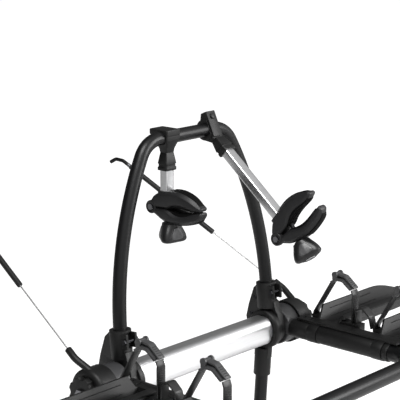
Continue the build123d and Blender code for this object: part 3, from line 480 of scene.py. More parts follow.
def rounded(half_a: float, half_b: float, corner: float, steps: int = 5) -> list[Pair]:
    """The outline of a rounded rectangle about the origin.

    Args:
        half_a: half its size along the first axis.
        half_b: half its size along the second axis.
        corner: the radius of its corners.
        steps: how many pieces each corner has.

    Returns:
        The points of the outline.
    """
    found: list[Pair] = []
    for quarter, (sa, sb) in enumerate(((1, 1), (-1, 1), (-1, -1), (1, -1))):
        middle = (sa * (half_a - corner), sb * (half_b - corner))
        found += arc(middle, corner, math.pi / 2 * quarter, math.pi / 2 * (quarter + 1), steps)
    return found


def stand(name: str, data: ID) -> Object:
    """Makes an object from its data and puts it in the scene.

    Args:
        name: the object's name.
        data: its mesh, curve, lamp or camera data.

    Returns:
        The object.
    """
    obj = bpy.data.objects.new(name, data)
    bpy.context.scene.collection.objects.link(obj)
    return obj


def raw_mesh(name: str, points: Iterable[Vector], edges: Sequence = (), faces: Sequence = ()) -> Mesh:
    """A mesh from points with their edges or faces.

    Args:
        name: the mesh's name.
        points: its points, in metres.
        edges: pairs of point numbers.
        faces: rows of point numbers.

    Returns:
        The mesh.
    """
    mesh = bpy.data.meshes.new(name)
    mesh.from_pydata([tuple(p) for p in points], list(edges), list(faces))
    return mesh


@contextmanager
def edited(mesh: Mesh) -> Iterator[bmesh.types.BMesh]:
    """Lends a mesh out for editing and puts the result back.

    Args:
        mesh: the mesh.

    Yields:
        Its editable form.
    """
    work = bmesh.new()
    work.from_mesh(mesh)
    yield work
    work.to_mesh(mesh)
    work.free()


def round_edges(obj: Object, width_mm: float, degrees: float = 30.0) -> None:
    """Rounds the edges of an object that are sharper than an angle.

    Args:
        obj: the object.
        width_mm: how wide the rounding is.
        degrees: the angle.
    """
    bevel = obj.modifiers.new("edge", "BEVEL")
    bevel.width, bevel.segments, bevel.limit_method = width_mm * MM, 2, "ANGLE"
    bevel.angle_limit = math.radians(degrees)


def plain(obj: Object) -> Object:
    """Applies everything on an object and leaves a plain mesh.

    Args:
        obj: the object, with its modifiers.

    Returns:
        The same object, without them.
    """
    made = bpy.data.meshes.new_from_object(obj.evaluated_get(bpy.context.evaluated_depsgraph_get()))
    old = obj.data
    obj.modifiers.clear()
    obj.data = made
    made.name = obj.name
    if old.users == 0:
        bpy.data.meshes.remove(old)
    return obj


def piece(name: str, solid: Solid, finish: Finish, body: str, replaces: Iterable[str] = (),
          edge_mm: float = 0.0, sharp: float = 32.0) -> Object:
    """Makes a finished piece of the object.

    Args:
        name: the piece's name.
        solid: its shells.
        finish: its surface.
        body: the body that it rides on.
        replaces: the part's nodes that it stands for.
        edge_mm: how far its sharp edges are rounded.
        sharp: the angle over which an edge stays crisp in the shading.

    Returns:
        The object.
    """
    mesh = raw_mesh(name, solid.points, faces=solid.faces)
    with edited(mesh) as work:
        bmesh.ops.remove_doubles(work, verts=work.verts, dist=PIECE_WELD)
        bmesh.ops.dissolve_degenerate(work, edges=work.edges, dist=1e-7)
        bmesh.ops.recalc_face_normals(work, faces=work.faces)
    obj = stand(name, mesh)
    if edge_mm:
        round_edges(obj, edge_mm, PIECE_ANGLE)
    return settle(plain(obj), finish, body, replaces, sharp)


def settle(obj: Object, finish: Finish, body: str, replaces: Iterable[str] = (),
           sharp: float = 32.0) -> Object:
    """Shades a plain mesh, gives it its finish and lets it ride on its body.

    Args:
        obj: the object.
        finish: its surface.
        body: the body that it rides on.
        replaces: the part's nodes that it stands for.
        sharp: the angle over which an edge stays crisp in the shading.

    Returns:
        The same object.
    """
    obj.data.polygons.foreach_set("use_smooth", [True] * len(obj.data.polygons))
    obj.data.set_sharp_from_angle(angle=math.radians(sharp))
    obj.data.materials.clear()
    obj.data.materials.append(finish.material())
    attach(obj, body)
    for node in replaces:
        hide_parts(node)
    log.info("%s: %d faces", obj.name, len(obj.data.polygons))
    return obj


def softened(node: str, name: str, finish: Finish, body: str, edge_mm: float) -> Object:
    """Makes a piece from a part's node with its moulded edges rounded.

    Args:
        node: the part's node.
        name: the new piece's name.
        finish: its surface.
        body: the body that it rides on.
        edge_mm: the radius of the rounding.

    Returns:
        The object.
    """
    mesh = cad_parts[node].data.copy()
    with edited(mesh) as work:
        bmesh.ops.remove_doubles(work, verts=work.verts, dist=MOULD_WELD)
        bmesh.ops.dissolve_limit(work, angle_limit=math.radians(FLAT_ANGLE), verts=work.verts,
                                 edges=work.edges)
    obj = stand(name, mesh)
    round_edges(obj, edge_mm, MOULD_ANGLE)
    return settle(plain(obj), finish, body, [node])


def dress(node: str, finish: Finish) -> None:
    """Gives a node that keeps its shape its material.

    Args:
        node: the part's node.
        finish: its surface.
    """
    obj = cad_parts[node]
    obj.data.materials.clear()
    obj.data.materials.append(finish.material())
    log.info("%s: keeps its shape", node)


def group_of(name: str, inputs: dict[str, str]) -> GeometryNodeTree:
    """Starts a Geometry Nodes tree that takes a geometry in and gives one out.

    Args:
        name: the tree's name.
        inputs: its further inputs, with the kind of each.

    Returns:
        The tree.
    """
    tree = bpy.data.node_groups.new(name, "GeometryNodeTree")
    for key, kind in {"Geometry": "Geometry", **inputs}.items():
        tree.interface.new_socket(key, in_out="INPUT", socket_type=f"NodeSocket{kind}")
    tree.interface.new_socket("Geometry", in_out="OUTPUT", socket_type="NodeSocketGeometry")
    return tree


def run_group(obj: Object, tree: GeometryNodeTree, shape: NodeSocket,
              finish: Finish, values: dict[str, float]) -> None:
    """Ends a tree, runs it on an object and leaves the plain result.

    Args:
        obj: the object.
        tree: its tree, without its end.
        shape: the socket that holds the shape.
        finish: the surface that the shape gets.
        values: what the tree's inputs are set to.
    """
    coloured = add_node(tree, "GeometryNodeSetMaterial", {"Material": finish.material()}, Geometry=shape)
    add_node(tree, "NodeGroupOutput", {0: coloured.outputs[0]})
    modifier = obj.modifiers.new("shape", "NODES")
    modifier.node_group = tree
    for socket in tree.interface.items_tree:
        if socket.in_out == "INPUT" and socket.name in values:
            modifier[socket.identifier] = values[socket.name]
    plain(obj)


@dataclass
class Repeat:
    """Geometry Nodes that set a small item at each point of a mesh, turned by its attribute."""

    item: Solid
    finish: Finish

    def build(self, name: str, places: Sequence[tuple[Vector, Matrix]], body: str,
              edge_mm: float) -> Object:
        """Sets the item at each place and makes the result a plain piece.

        Args:
            name: the piece's name.
            places: a point and a turn for each item.
            body: the body that the piece rides on.
            edge_mm: how far the item's edges are rounded.

        Returns:
            The object.
        """
        item = stand("item", raw_mesh("item", self.item.points, faces=self.item.faces))
        round_edges(item, edge_mm)
        points = raw_mesh(name, [p for p, _ in places])
        turns = points.attributes.new("turn", "FLOAT_VECTOR", "POINT")
        turns.data.foreach_set("vector", [v for _, m in places for v in m.to_euler()])
        obj = stand(name, points)
        tree = group_of("repeat_items", {"Size": "Float"})
        given = add_node(tree, "NodeGroupInput")
        shape = add_node(tree, "GeometryNodeObjectInfo", {"Object": item})
        turn = add_node(tree, "GeometryNodeInputNamedAttribute", {"data_type": "FLOAT_VECTOR",
                                                                  "Name": "turn"})
        euler = add_node(tree, "FunctionNodeEulerToRotation", Euler=turn.outputs["Attribute"])
        laid = add_node(tree, "GeometryNodeInstanceOnPoints", Points=given.outputs["Geometry"],
                        Instance=shape.outputs["Geometry"], Rotation=euler.outputs[0],
                        Scale=given.outputs["Size"])
        real = add_node(tree, "GeometryNodeRealizeInstances", Geometry=laid.outputs[0])
        run_group(obj, tree, real.outputs[0], self.finish, {"Size": 1.0})
        bpy.data.objects.remove(item)
        return settle(obj, self.finish, body)


@dataclass
class SweptTube:
    """Geometry Nodes that sweep a round tube along a bent line."""

    radius_mm: float
    facets: int = 40

    def build(self, name: str, line: Sequence[Vector], finish: Finish, body: str,
              replaces: Iterable[str] = ()) -> Object:
        """Sweeps the tube along the line.

        Args:
            name: the piece's name.
            line: points of the tube's middle, close together on the bends.
            finish: its surface.
            body: the body that it rides on.
            replaces: the part's nodes that it stands for.

        Returns:
            The object.
        """
        obj = stand(name, raw_mesh(name, line, edges=[(i, i + 1) for i in range(len(line) - 1)]))
        tree = group_of("swept_tube", {"Radius": "Float", "Facets": "Int"})
        given = add_node(tree, "NodeGroupInput")
        path = add_node(tree, "GeometryNodeMeshToCurve", Mesh=given.outputs["Geometry"])
        rim = add_node(tree, "GeometryNodeCurvePrimitiveCircle", Resolution=given.outputs["Facets"],
                       Radius=given.outputs["Radius"])
        skin = add_node(tree, "GeometryNodeCurveToMesh", {"Fill Caps": True}, Curve=path.outputs[0],
                        Profile_Curve=rim.outputs[0])
        run_group(obj, tree, skin.outputs[0], finish, {"Radius": self.radius_mm * MM, "Facets": self.facets})
        with edited(obj.data) as work:
            bmesh.ops.remove_doubles(work, verts=work.verts, dist=PIECE_WELD)
            bmesh.ops.recalc_face_normals(work, faces=work.faces)
        return settle(obj, finish, body, replaces, 50.0)


def bent(points: Sequence[Pair], radius: float, steps: int = 14) -> list[Pair]:
    """A run of straight lines with round corners.

    Args:
        points: the corners, with the two ends.
        radius: the radius of the corners.
        steps: points on each corner.

    Returns:
        The points of the bent line.
    """
    found = [tuple(points[0])]
    for before, corner, after in zip(points, points[1:], points[2:]):
        p, q, r = Vector(before), Vector(corner), Vector(after)
        back, ahead = (p - q).normalized(), (r - q).normalized()
        half = math.acos(max(-1.0, min(1.0, back.dot(ahead)))) / 2
        run = radius / math.tan(half)
        centre = q + (back + ahead).normalized() * radius / math.sin(half)
        start, end = q + back * run - centre, q + ahead * run - centre
        sweep = math.atan2(start.x * end.y - start.y * end.x, start.dot(end))
        first = math.atan2(start.y, start.x)
        found += arc((centre.x, centre.y), radius, first, first + sweep, steps)
    found.append(tuple(points[-1]))
    return found


@dataclass
class Hoop:
    """The bent hoop, with the brackets that hold its feet on the hub axle."""

    leg_x: float = 205.0
    foot: float = 47.0
    bend_start: float = 80.0
    bend_r: float = 625.0
    corner_r: float = 54.0
    top: float = 418.4
    lean: float = 4.79
    tube_r: float = 12.7
    fin_face: float = 200.0
    seam_width: Pair = (12.0, 13.2)
    seam_proud: float = 0.6
    seam_spans: tuple[Pair, ...] = ((46.0, 60.0), (60.6, 76.0))
    screws: tuple[Pair, ...] = ((32.0, 58.0), (41.0, 22.0))
    screw_r: float = 4.2

    def axes(self) -> Axes:
        """The hoop's own plane.

        Returns:
            Axes with a across the rack, b up the legs and c forward, square to both.
        """
        lean = math.radians(self.lean)
        rise = Vector((0, math.sin(lean), math.cos(lean)))
        return Axes(HUB, RIGHT, rise, Vector((0, math.cos(lean), -math.sin(lean))))

    def line(self) -> list[Pair]:
        """The middle of the tube, from the right foot over the top to the left foot.

        Returns:
            Its points in the hoop's plane.
        """
        turn = math.asin((self.top - self.corner_r - self.bend_start) / (self.bend_r - self.corner_r))
        leg = arc((self.leg_x - self.bend_r, self.bend_start), self.bend_r, 0.0, turn, 24)
        x, s = leg[-1]
        centre = (x - self.corner_r * math.cos(turn), s - self.corner_r * math.sin(turn))
        corner = arc(centre, self.corner_r, turn, math.pi / 2, 16)
        half = [(self.leg_x, self.foot), *leg, *corner[1:]]
        return half + [(-x, s) for x, s in reversed(half)]

    def fin_details(self, side: Side) -> None:
        """The seam and the two screws on the inboard face of a bracket's fin.

        Args:
            side: the bracket's side.
        """
        face = side.sign * self.fin_face
        across = (face + side.sign, face - side.sign * self.seam_proud)
        seam = Solid().join(*(box(AT_HUB, across, self.seam_width, span) for span in self.seam_spans))
        piece(f"bracket_seam_{side.value}", seam, BLACK_NYLON, "hoop", edge_mm=0.2)
        turn = Matrix.Rotation(math.radians(-90 * side.sign), 3, "Y")
        places = [(hub(face, y, z), turn) for y, z in self.screws]
        screws = Repeat(screw_head(self.screw_r), BLACK_STEEL)
        screws.build(f"bracket_screws_{side.value}", places, "hoop", 0.2)

    def build(self) -> None:
        """Makes the hoop and dresses its brackets and bolts."""
        axes = self.axes()
        line = [axes.at(a, b) for a, b in self.line()]
        SweptTube(self.tube_r, 48).build("hoop_bent_tube", line, SATIN_COAT, "hoop", ["hoop_tube"])
        for side in Side:
            softened(f"hoop_bracket_{side.value}", f"bracket_moulding_{side.value}", BLACK_NYLON, "hoop", 0.9)
            self.fin_details(side)
        dress("hoop_bolts", BLACK_STEEL)


@dataclass
class Platform:
    """The cross tube with its hubs, the side beams and the cable winders."""

    beam_x: float = 235.0
    beam_rise: float = 1.0
    beam_start: float = 33.0
    loop_back: float = 340.0
    loop_corner: float = 60.0
    beam_r: float = 15.5

    def build(self) -> None:
        """Makes the loop and dresses the rest."""
        flat = bent([(self.beam_x, -self.beam_start), (self.beam_x, -self.loop_back),
                     (-self.beam_x, -self.loop_back), (-self.beam_x, -self.beam_start)], self.loop_corner)
        line = [hub(x, y, self.beam_rise) for x, y in flat]
        SweptTube(self.beam_r).build("loop_bent_tube", line, SATIN_COAT, "platform", ["platform_loop"])
        dress("cross_tube", CROSS_BRUSHED)
        dress("hub_axles", ZINC)
        softened("hub_drums", "hub_mouldings", DRUM_NYLON, "platform", 0.8)
        softened("beam_sleeves", "sleeve_rings", BLACK_NYLON, "platform", 0.5)
        for side in Side:
            tag = side.value
            softened(f"winder_housing_{tag}", f"winder_case_{tag}", BLACK_NYLON, "platform", 0.8)
            softened(f"winder_knob_{tag}", f"winder_grip_{tag}", BLACK_NYLON, f"winder_{tag}", 0.9)
            dress(f"cable_reel_{tag}", DRUM_NYLON)


@dataclass
class LowerFrame:
    """The tube that hangs below the hubs, its sockets and the two feet."""

    ring_face: float = 186.3
    ring_steps: tuple[Pair, ...] = ((28.4, 30.2), (32.2, 34.2))

    def ring_ribs(self, side: Side) -> Solid:
        """The two round steps on the inboard face of a hub ring.

        Args:
            side: the ring's side.

        Returns:
            Their shells.
        """
        axes = Axes(HUB, FORWARD, UP, RIGHT * side.sign)
        ribs = Solid()
        sunk, proud = self.ring_face + 1.0, self.ring_face - 1.1
        for inner, outer in self.ring_steps:
            profile = [(inner, sunk), (inner, proud), (outer, proud), (outer, sunk)]
            ribs.join(turning(profile, axes, 72, True))
        return ribs

    def build(self) -> None:
        """Dresses the lower frame."""
        dress("lower_tube", SATIN_COAT)
        softened("rubber_feet", "foot_pads", RUBBER, "lower_frame", 1.6)
        for side in Side:
            tag = side.value
            softened(f"lower_socket_{tag}", f"socket_moulding_{tag}", BLACK_NYLON, "lower_frame", 0.9)
            piece(f"socket_ring_steps_{tag}", self.ring_ribs(side), BLACK_NYLON, "lower_frame", edge_mm=0.3)


@dataclass
class Trays:
    """The two wheel trays with their straps, buckles and levers."""

    channels: Pair = (-107.0, -254.0)
    strap_x: float = 276.0
    teeth: int = 12
    tooth_back: float = 54.2
    tooth_foot: float = 33.0
    tooth_pitch: float = 4.0
    tooth_half: Triple = (6.0, 0.8, 0.9)
    beads: tuple[tuple[float, ...], ...] = ((296.0, 436.0, 37.0, 23.6), (296.0, 452.0, 21.0, 20.2))
    grips: int = 5
    grip_lean: float = 39.0
    grip_back: Pair = (37.0, 3.4)
    grip_top: Pair = (112.6, 2.75)
    grip_half: Triple = (5.2, 0.7, 0.9)

    def strap_teeth(self, side: Side) -> None:
        """The ladder teeth of the straps behind their buckles.

        Args:
            side: the tray's side.
        """
        x, flat = side.sign * self.strap_x, Matrix.Identity(3)
        places = [(hub(x, centre - self.tooth_back, self.tooth_foot + self.tooth_pitch * k), flat)
                  for centre in self.channels for k in range(self.teeth)]
        teeth = Repeat(brick(self.tooth_half), STRAP_PLASTIC)
        teeth.build(f"strap_teeth_{side.value}", places, f"tray_{side.value}", 0.25)

    def wall_beads(self, side: Side) -> Solid:
        """Creases along the inner faces of the far walls and ribs under the near rims.

        Args:
            side: the tray's side.

        Returns:
            Their shells.
        """
        return Solid().join(*(
            box(AT_HUB, (side.sign * start, side.sign * end), (centre + out - 1.0, centre + out + 1.0),
                (rise - 0.9, rise + 0.9))
            for centre in self.channels for start, end, rise, out in self.beads))

    def lever_grips(self, side: Side, number: int) -> None:
        """The finger ribs near the end of a ratchet lever.

        Args:
            side: the tray's side.
            number: 1 at the wheel channel nearer to the car and 2 at the other.
        """
        (back, run), (top, drop) = self.grip_back, self.grip_top
        lean = Matrix.Rotation(math.radians(self.grip_lean), 3, "X")
        x, start = side.sign * self.strap_x, self.channels[number - 1] - back
        places = [(hub(x, start - run * k, top - drop * k), lean) for k in range(self.grips)]
        stem = f"{number}_{side.value}"
        ribs = Repeat(brick(self.grip_half), CHARCOAL_NYLON)
        ribs.build(f"lever_grips_{stem}", places, f"lever_{stem}", 0.25)

    def build(self) -> None:
        """Dresses the trays."""
        for side in Side:
            tag = side.value
            softened(f"wheel_tray_{tag}", f"tray_moulding_{tag}", BLACK_NYLON, f"tray_{tag}", 0.8)
            softened(f"tyre_straps_{tag}", f"strap_bands_{tag}", STRAP_PLASTIC, f"tray_{tag}", 0.5)
            softened(f"ratchet_buckles_{tag}", f"buckle_mouldings_{tag}", LEVER_NYLON, f"tray_{tag}", 0.7)
            self.strap_teeth(side)
            piece(f"tray_creases_{tag}", self.wall_beads(side), BLACK_NYLON, f"tray_{tag}", edge_mm=0.3)
            for number in (1, 2):
                softened(f"ratchet_lever_{number}_{tag}", f"lever_moulding_{number}_{tag}", LEVER_NYLON,
                         f"lever_{number}_{tag}", 0.6)
                self.lever_grips(side, number)


@dataclass
class Jaw:
    """One jaw of an arm: a curved claw with bevelled flanks."""

    outer: tuple[Pair, ...]
    mouth: tuple[Pair, ...]
    band_start: float
    band_wide: float
    band_end: float = 0.97
    band_proud: float = 1.6
    liner_span: Pair = (0.26, 0.93)
    liner_wide: float = 0.76
    ribs: int = 5
    crown: tuple[Pair, ...] = ((0.0, 0.3), (0.28, 0.4), (0.42, 3.6), (0.52, 5.2), (0.60, 5.2), (0.70, 3.6),
                               (0.80, 1.4), (0.90, 0.3), (1.0, 0.3))
    reach: float = 119.0
    height: float = 36.0
    width: float = 35.0
    tip_width: float = 21.0
    bevel_out: float = 6.0
    bevel_in: float = 4.5
    steps: int = 30

    def lines(self) -> tuple[list[Vector], list[Vector]]:
        """The jaw's mouth line and its outer line.

        Returns:
            The points of each, from the hinge to the tip.
        """
        mouth, outer = (smooth_line([(self.reach * a, self.height * b) for a, b in line], self.steps)
                        for line in (self.mouth, self.outer))
        return [Vector(p) for p in mouth], [Vector(p) for p in outer]

    def half(self, share: float) -> float:
        """Half the jaw's width, which narrows towards its tip."""
        late = max(0.0, (share - 0.5) / 0.5)
        return (self.width - (self.width - self.tip_width) * late ** 1.6) / 2

    def body(self, axes: Axes) -> Solid:
        """The claw itself, with a rounded nose.

        Args:
            axes: the jaw's axes.

        Returns:
            Its closed shell.
        """
        rings = []
        mouth, outer = self.lines()
        for i, (near, far) in enumerate(zip(mouth, outer)):
            half = self.half(i / (self.steps - 1))
            deep = (far - near).length
            way = (far - near) / deep
            low, high = min(self.bevel_in, deep * 0.3), min(self.bevel_out, deep * 0.35)
            ring = [(-half + low, 0), (half - low, 0), (half, low), (half, deep - high), (half - high, deep),
                    (-half + high, deep), (-half, deep - high), (-half, low)]
            rings.append([axes.at(*(near + way * h), c) for c, h in ring])
        middle = sum(rings[-1], Vector((0, 0, 0))) / len(rings[-1])
        ahead = sum((axes.at(*line[-1]) - axes.at(*line[-2]) for line in (mouth, outer)), Vector())
        ahead.normalize()
        for scale, push in ((0.90, 1.2), (0.70, 2.2), (0.40, 2.8)):
            rings.append([middle + (p - middle) * scale + ahead * push * MM for p in rings[self.steps - 1]])
        return loft(rings)

    def stations(self, start: float, end: float) -> list[tuple[float, Vector, Vector, Vector]]:
        """Stations between two shares of the jaw's length.

        Args:
            start: the first share.
            end: the last share.

        Returns:
            For each, its share, its mouth point, its outer point and the way from one to the other.
        """
        mouth, outer = self.lines()
        last = self.steps - 1
        return [(i / last, mouth[i], outer[i], (outer[i] - mouth[i]).normalized())
                for i in range(round(start * last), round(end * last) + 1)]

    def band(self, axes: Axes) -> Solid:
        """A rubber band on the outer face; its ends and its width are shares of the jaw's.

        Args:
            axes: the jaw's axes.

        Returns:
            Its closed shell.
        """
        stations = self.stations(self.band_start, self.band_end)
        rings = []
        for k, (share, _, far, way) in enumerate(stations):
            lift = self.band_proud * (1.0 if 0 < k < len(stations) - 1 else 0.5)
            half = self.band_wide * self.half(share)
            ring = [(-half, -2.0), (half, -2.0), (half, lift * 0.6), (half - 1.2, lift), (-half + 1.2, lift),
                    (-half, lift * 0.6)]
            rings.append([axes.at(*(far + way * h), c) for c, h in ring])
        return loft(rings)

    def liner(self, axes: Axes) -> Solid:
        """The crowned rubber liner of the mouth, with ribs that run along the jaw.

        Args:
            axes: the jaw's axes.

        Returns:
            Its closed shell.
        """
        rings = []
        for share, near, _, way in self.stations(*self.liner_span):
            half = self.liner_wide * self.half(share)
            pitch = 2 * half / self.ribs
            swell = between(self.crown, share)
            ring = [(half, 2.4), (-half, 2.4)]
            for k in range(self.ribs):
                left = -half + pitch * k
                high = swell * (1 - 0.35 * abs(2 * (k + 0.5) / self.ribs - 1))
                ring += [(left, -high * 0.55), (left + pitch * 0.2, -high - 0.4),
                         (left + pitch * 0.7, -high - 0.4), (left + pitch * 0.9, -high * 0.55)]
            rings.append([axes.at(*(near + way * h), c) for c, h in ring])
        return loft(rings)


UPPER_JAW = Jaw(
    outer=((0.01, 0.53), (0.10, 0.74), (0.22, 0.87), (0.40, 0.97), (0.58, 0.96), (0.76, 0.80), (0.88, 0.58),
           (0.965, 0.36)),
    mouth=((0.02, 0.0), (0.18, 0.02), (0.31, 0.05), (0.42, 0.20), (0.52, 0.27), (0.63, 0.25), (0.76, 0.15),
           (0.86, 0.10), (0.955, 0.16)),
    band_start=0.36, band_wide=0.52,
)
LOWER_JAW = Jaw(
    outer=((0.03, -0.30), (0.17, -0.58), (0.30, -0.70), (0.45, -0.73), (0.62, -0.68), (0.80, -0.55),
           (0.92, -0.40), (0.97, -0.20)),
    mouth=((0.04, -0.01), (0.18, -0.01), (0.31, -0.02), (0.42, -0.15), (0.52, -0.24), (0.61, -0.24),
           (0.71, -0.15), (0.86, 0.04), (0.965, 0.10)),
    band_start=0.50, band_wide=0.56,
)


@dataclass
class Knob:
    """The three-lobed knob on the draw screw, with a panel let into each flank."""

    top: float = 28.0
    height: float = 34.0
    flat_r: float = 20.5
    lobe_r: float = 29.5
    neck_r: float = 16.5
    turn: float = 39.0
    facets: int = 96
    levels: int = 14
    rim: float = 0.86

    def radius(self, angle: float, share: float) -> float:
        """The knob's radius.

        Args:
            angle: degrees from the first lobe.
            share: how far down the knob, from 0 at the neck to 1 at the end.

        Returns:
            The radius in millimetres.
        """
        lobe = (0.5 + 0.5 * math.cos(math.radians(3 * angle))) ** 1.5
        wide = self.flat_r + (self.lobe_r - self.flat_r) * lobe
        swell = math.sin(min(1.0, share * 1.1) * math.pi / 2) ** 1.15
        return self.neck_r + (wide - self.neck_r) * swell

    def polar(self, axes: Axes, r: float, angle: float, c: float) -> Vector:
        """A point at a radius and an angle from the first lobe."""
        t = math.radians(angle + self.turn)
        return axes.at(r * math.cos(t), r * math.sin(t), c)

    def body(self, axes: Axes) -> Solid:
        """The knob, hollow at its end round the lock.

        Args:
            axes: the knob's axes, with c down from its neck.

        Returns:
            Its closed shell.
        """
        angles = [360 * k / self.facets for k in range(self.facets)]

        def ring(share: float, scale: float = 1.0, sink: float = 0.0) -> list[Vector]:
            """A lobed ring at a share of the height, scaled about the axis and sunk."""
            c = self.height * share - sink
            return [self.polar(axes, self.radius(t, share) * scale, t, c) for t in angles]

        def circle(r: float, c: float) -> list[Vector]:
            """A round ring at a height."""
            return [self.polar(axes, r, t, c) for t in angles]

        rings = [circle(12.6, -2.6), circle(13.2, -0.6), circle(14.4, 0.2), circle(self.neck_r - 0.4, 0.2)]
        rings += [ring(self.rim * k / self.levels) for k in range(self.levels + 1)]
        dome = ((0.975, 3.2), (0.93, 1.5), (0.86, 0.4), (0.72, -0.2))
        well = ((13.2, 0.4), (12.4, 1.4), (11.2, 1.4), (10.6, -4.5))
        rings += [ring(1.0, scale, sink) for scale, sink in dome]
        rings += [circle(r, self.height + c) for r, c in well]
        return loft(rings)

    def panel(self, axes: Axes, number: int) -> Solid:
        """The raised rounded-triangle panel on one flank.

        Args:
            axes: the knob's axes.
            number: the flank, from 0 to 2.

        Returns:
            Its closed shell.
        """
        middle = 60 + 120 * number
        rim = smooth_line([(0, 0.15), (17, 0.22), (29, 0.50), (33, 0.68), (26, 0.78), (0, 0.80), (-26, 0.78),
                           (-33, 0.68), (-29, 0.50), (-17, 0.22), (0, 0.15)], 49)[:-1]
        rings = []
        for scale, lift in ((1.0, -1.5), (1.0, 0.6), (0.95, 1.0), (0.75, 1.1), (0.5, 1.1), (0.25, 1.1),
                            (0.02, 1.1)):
            spots = [(middle + a * scale, 0.5 + (s - 0.5) * scale) for a, s in rim]
            rings.append([self.polar(axes, self.radius(t, s) + lift, t, self.height * s) for t, s in spots])
        return loft(rings)


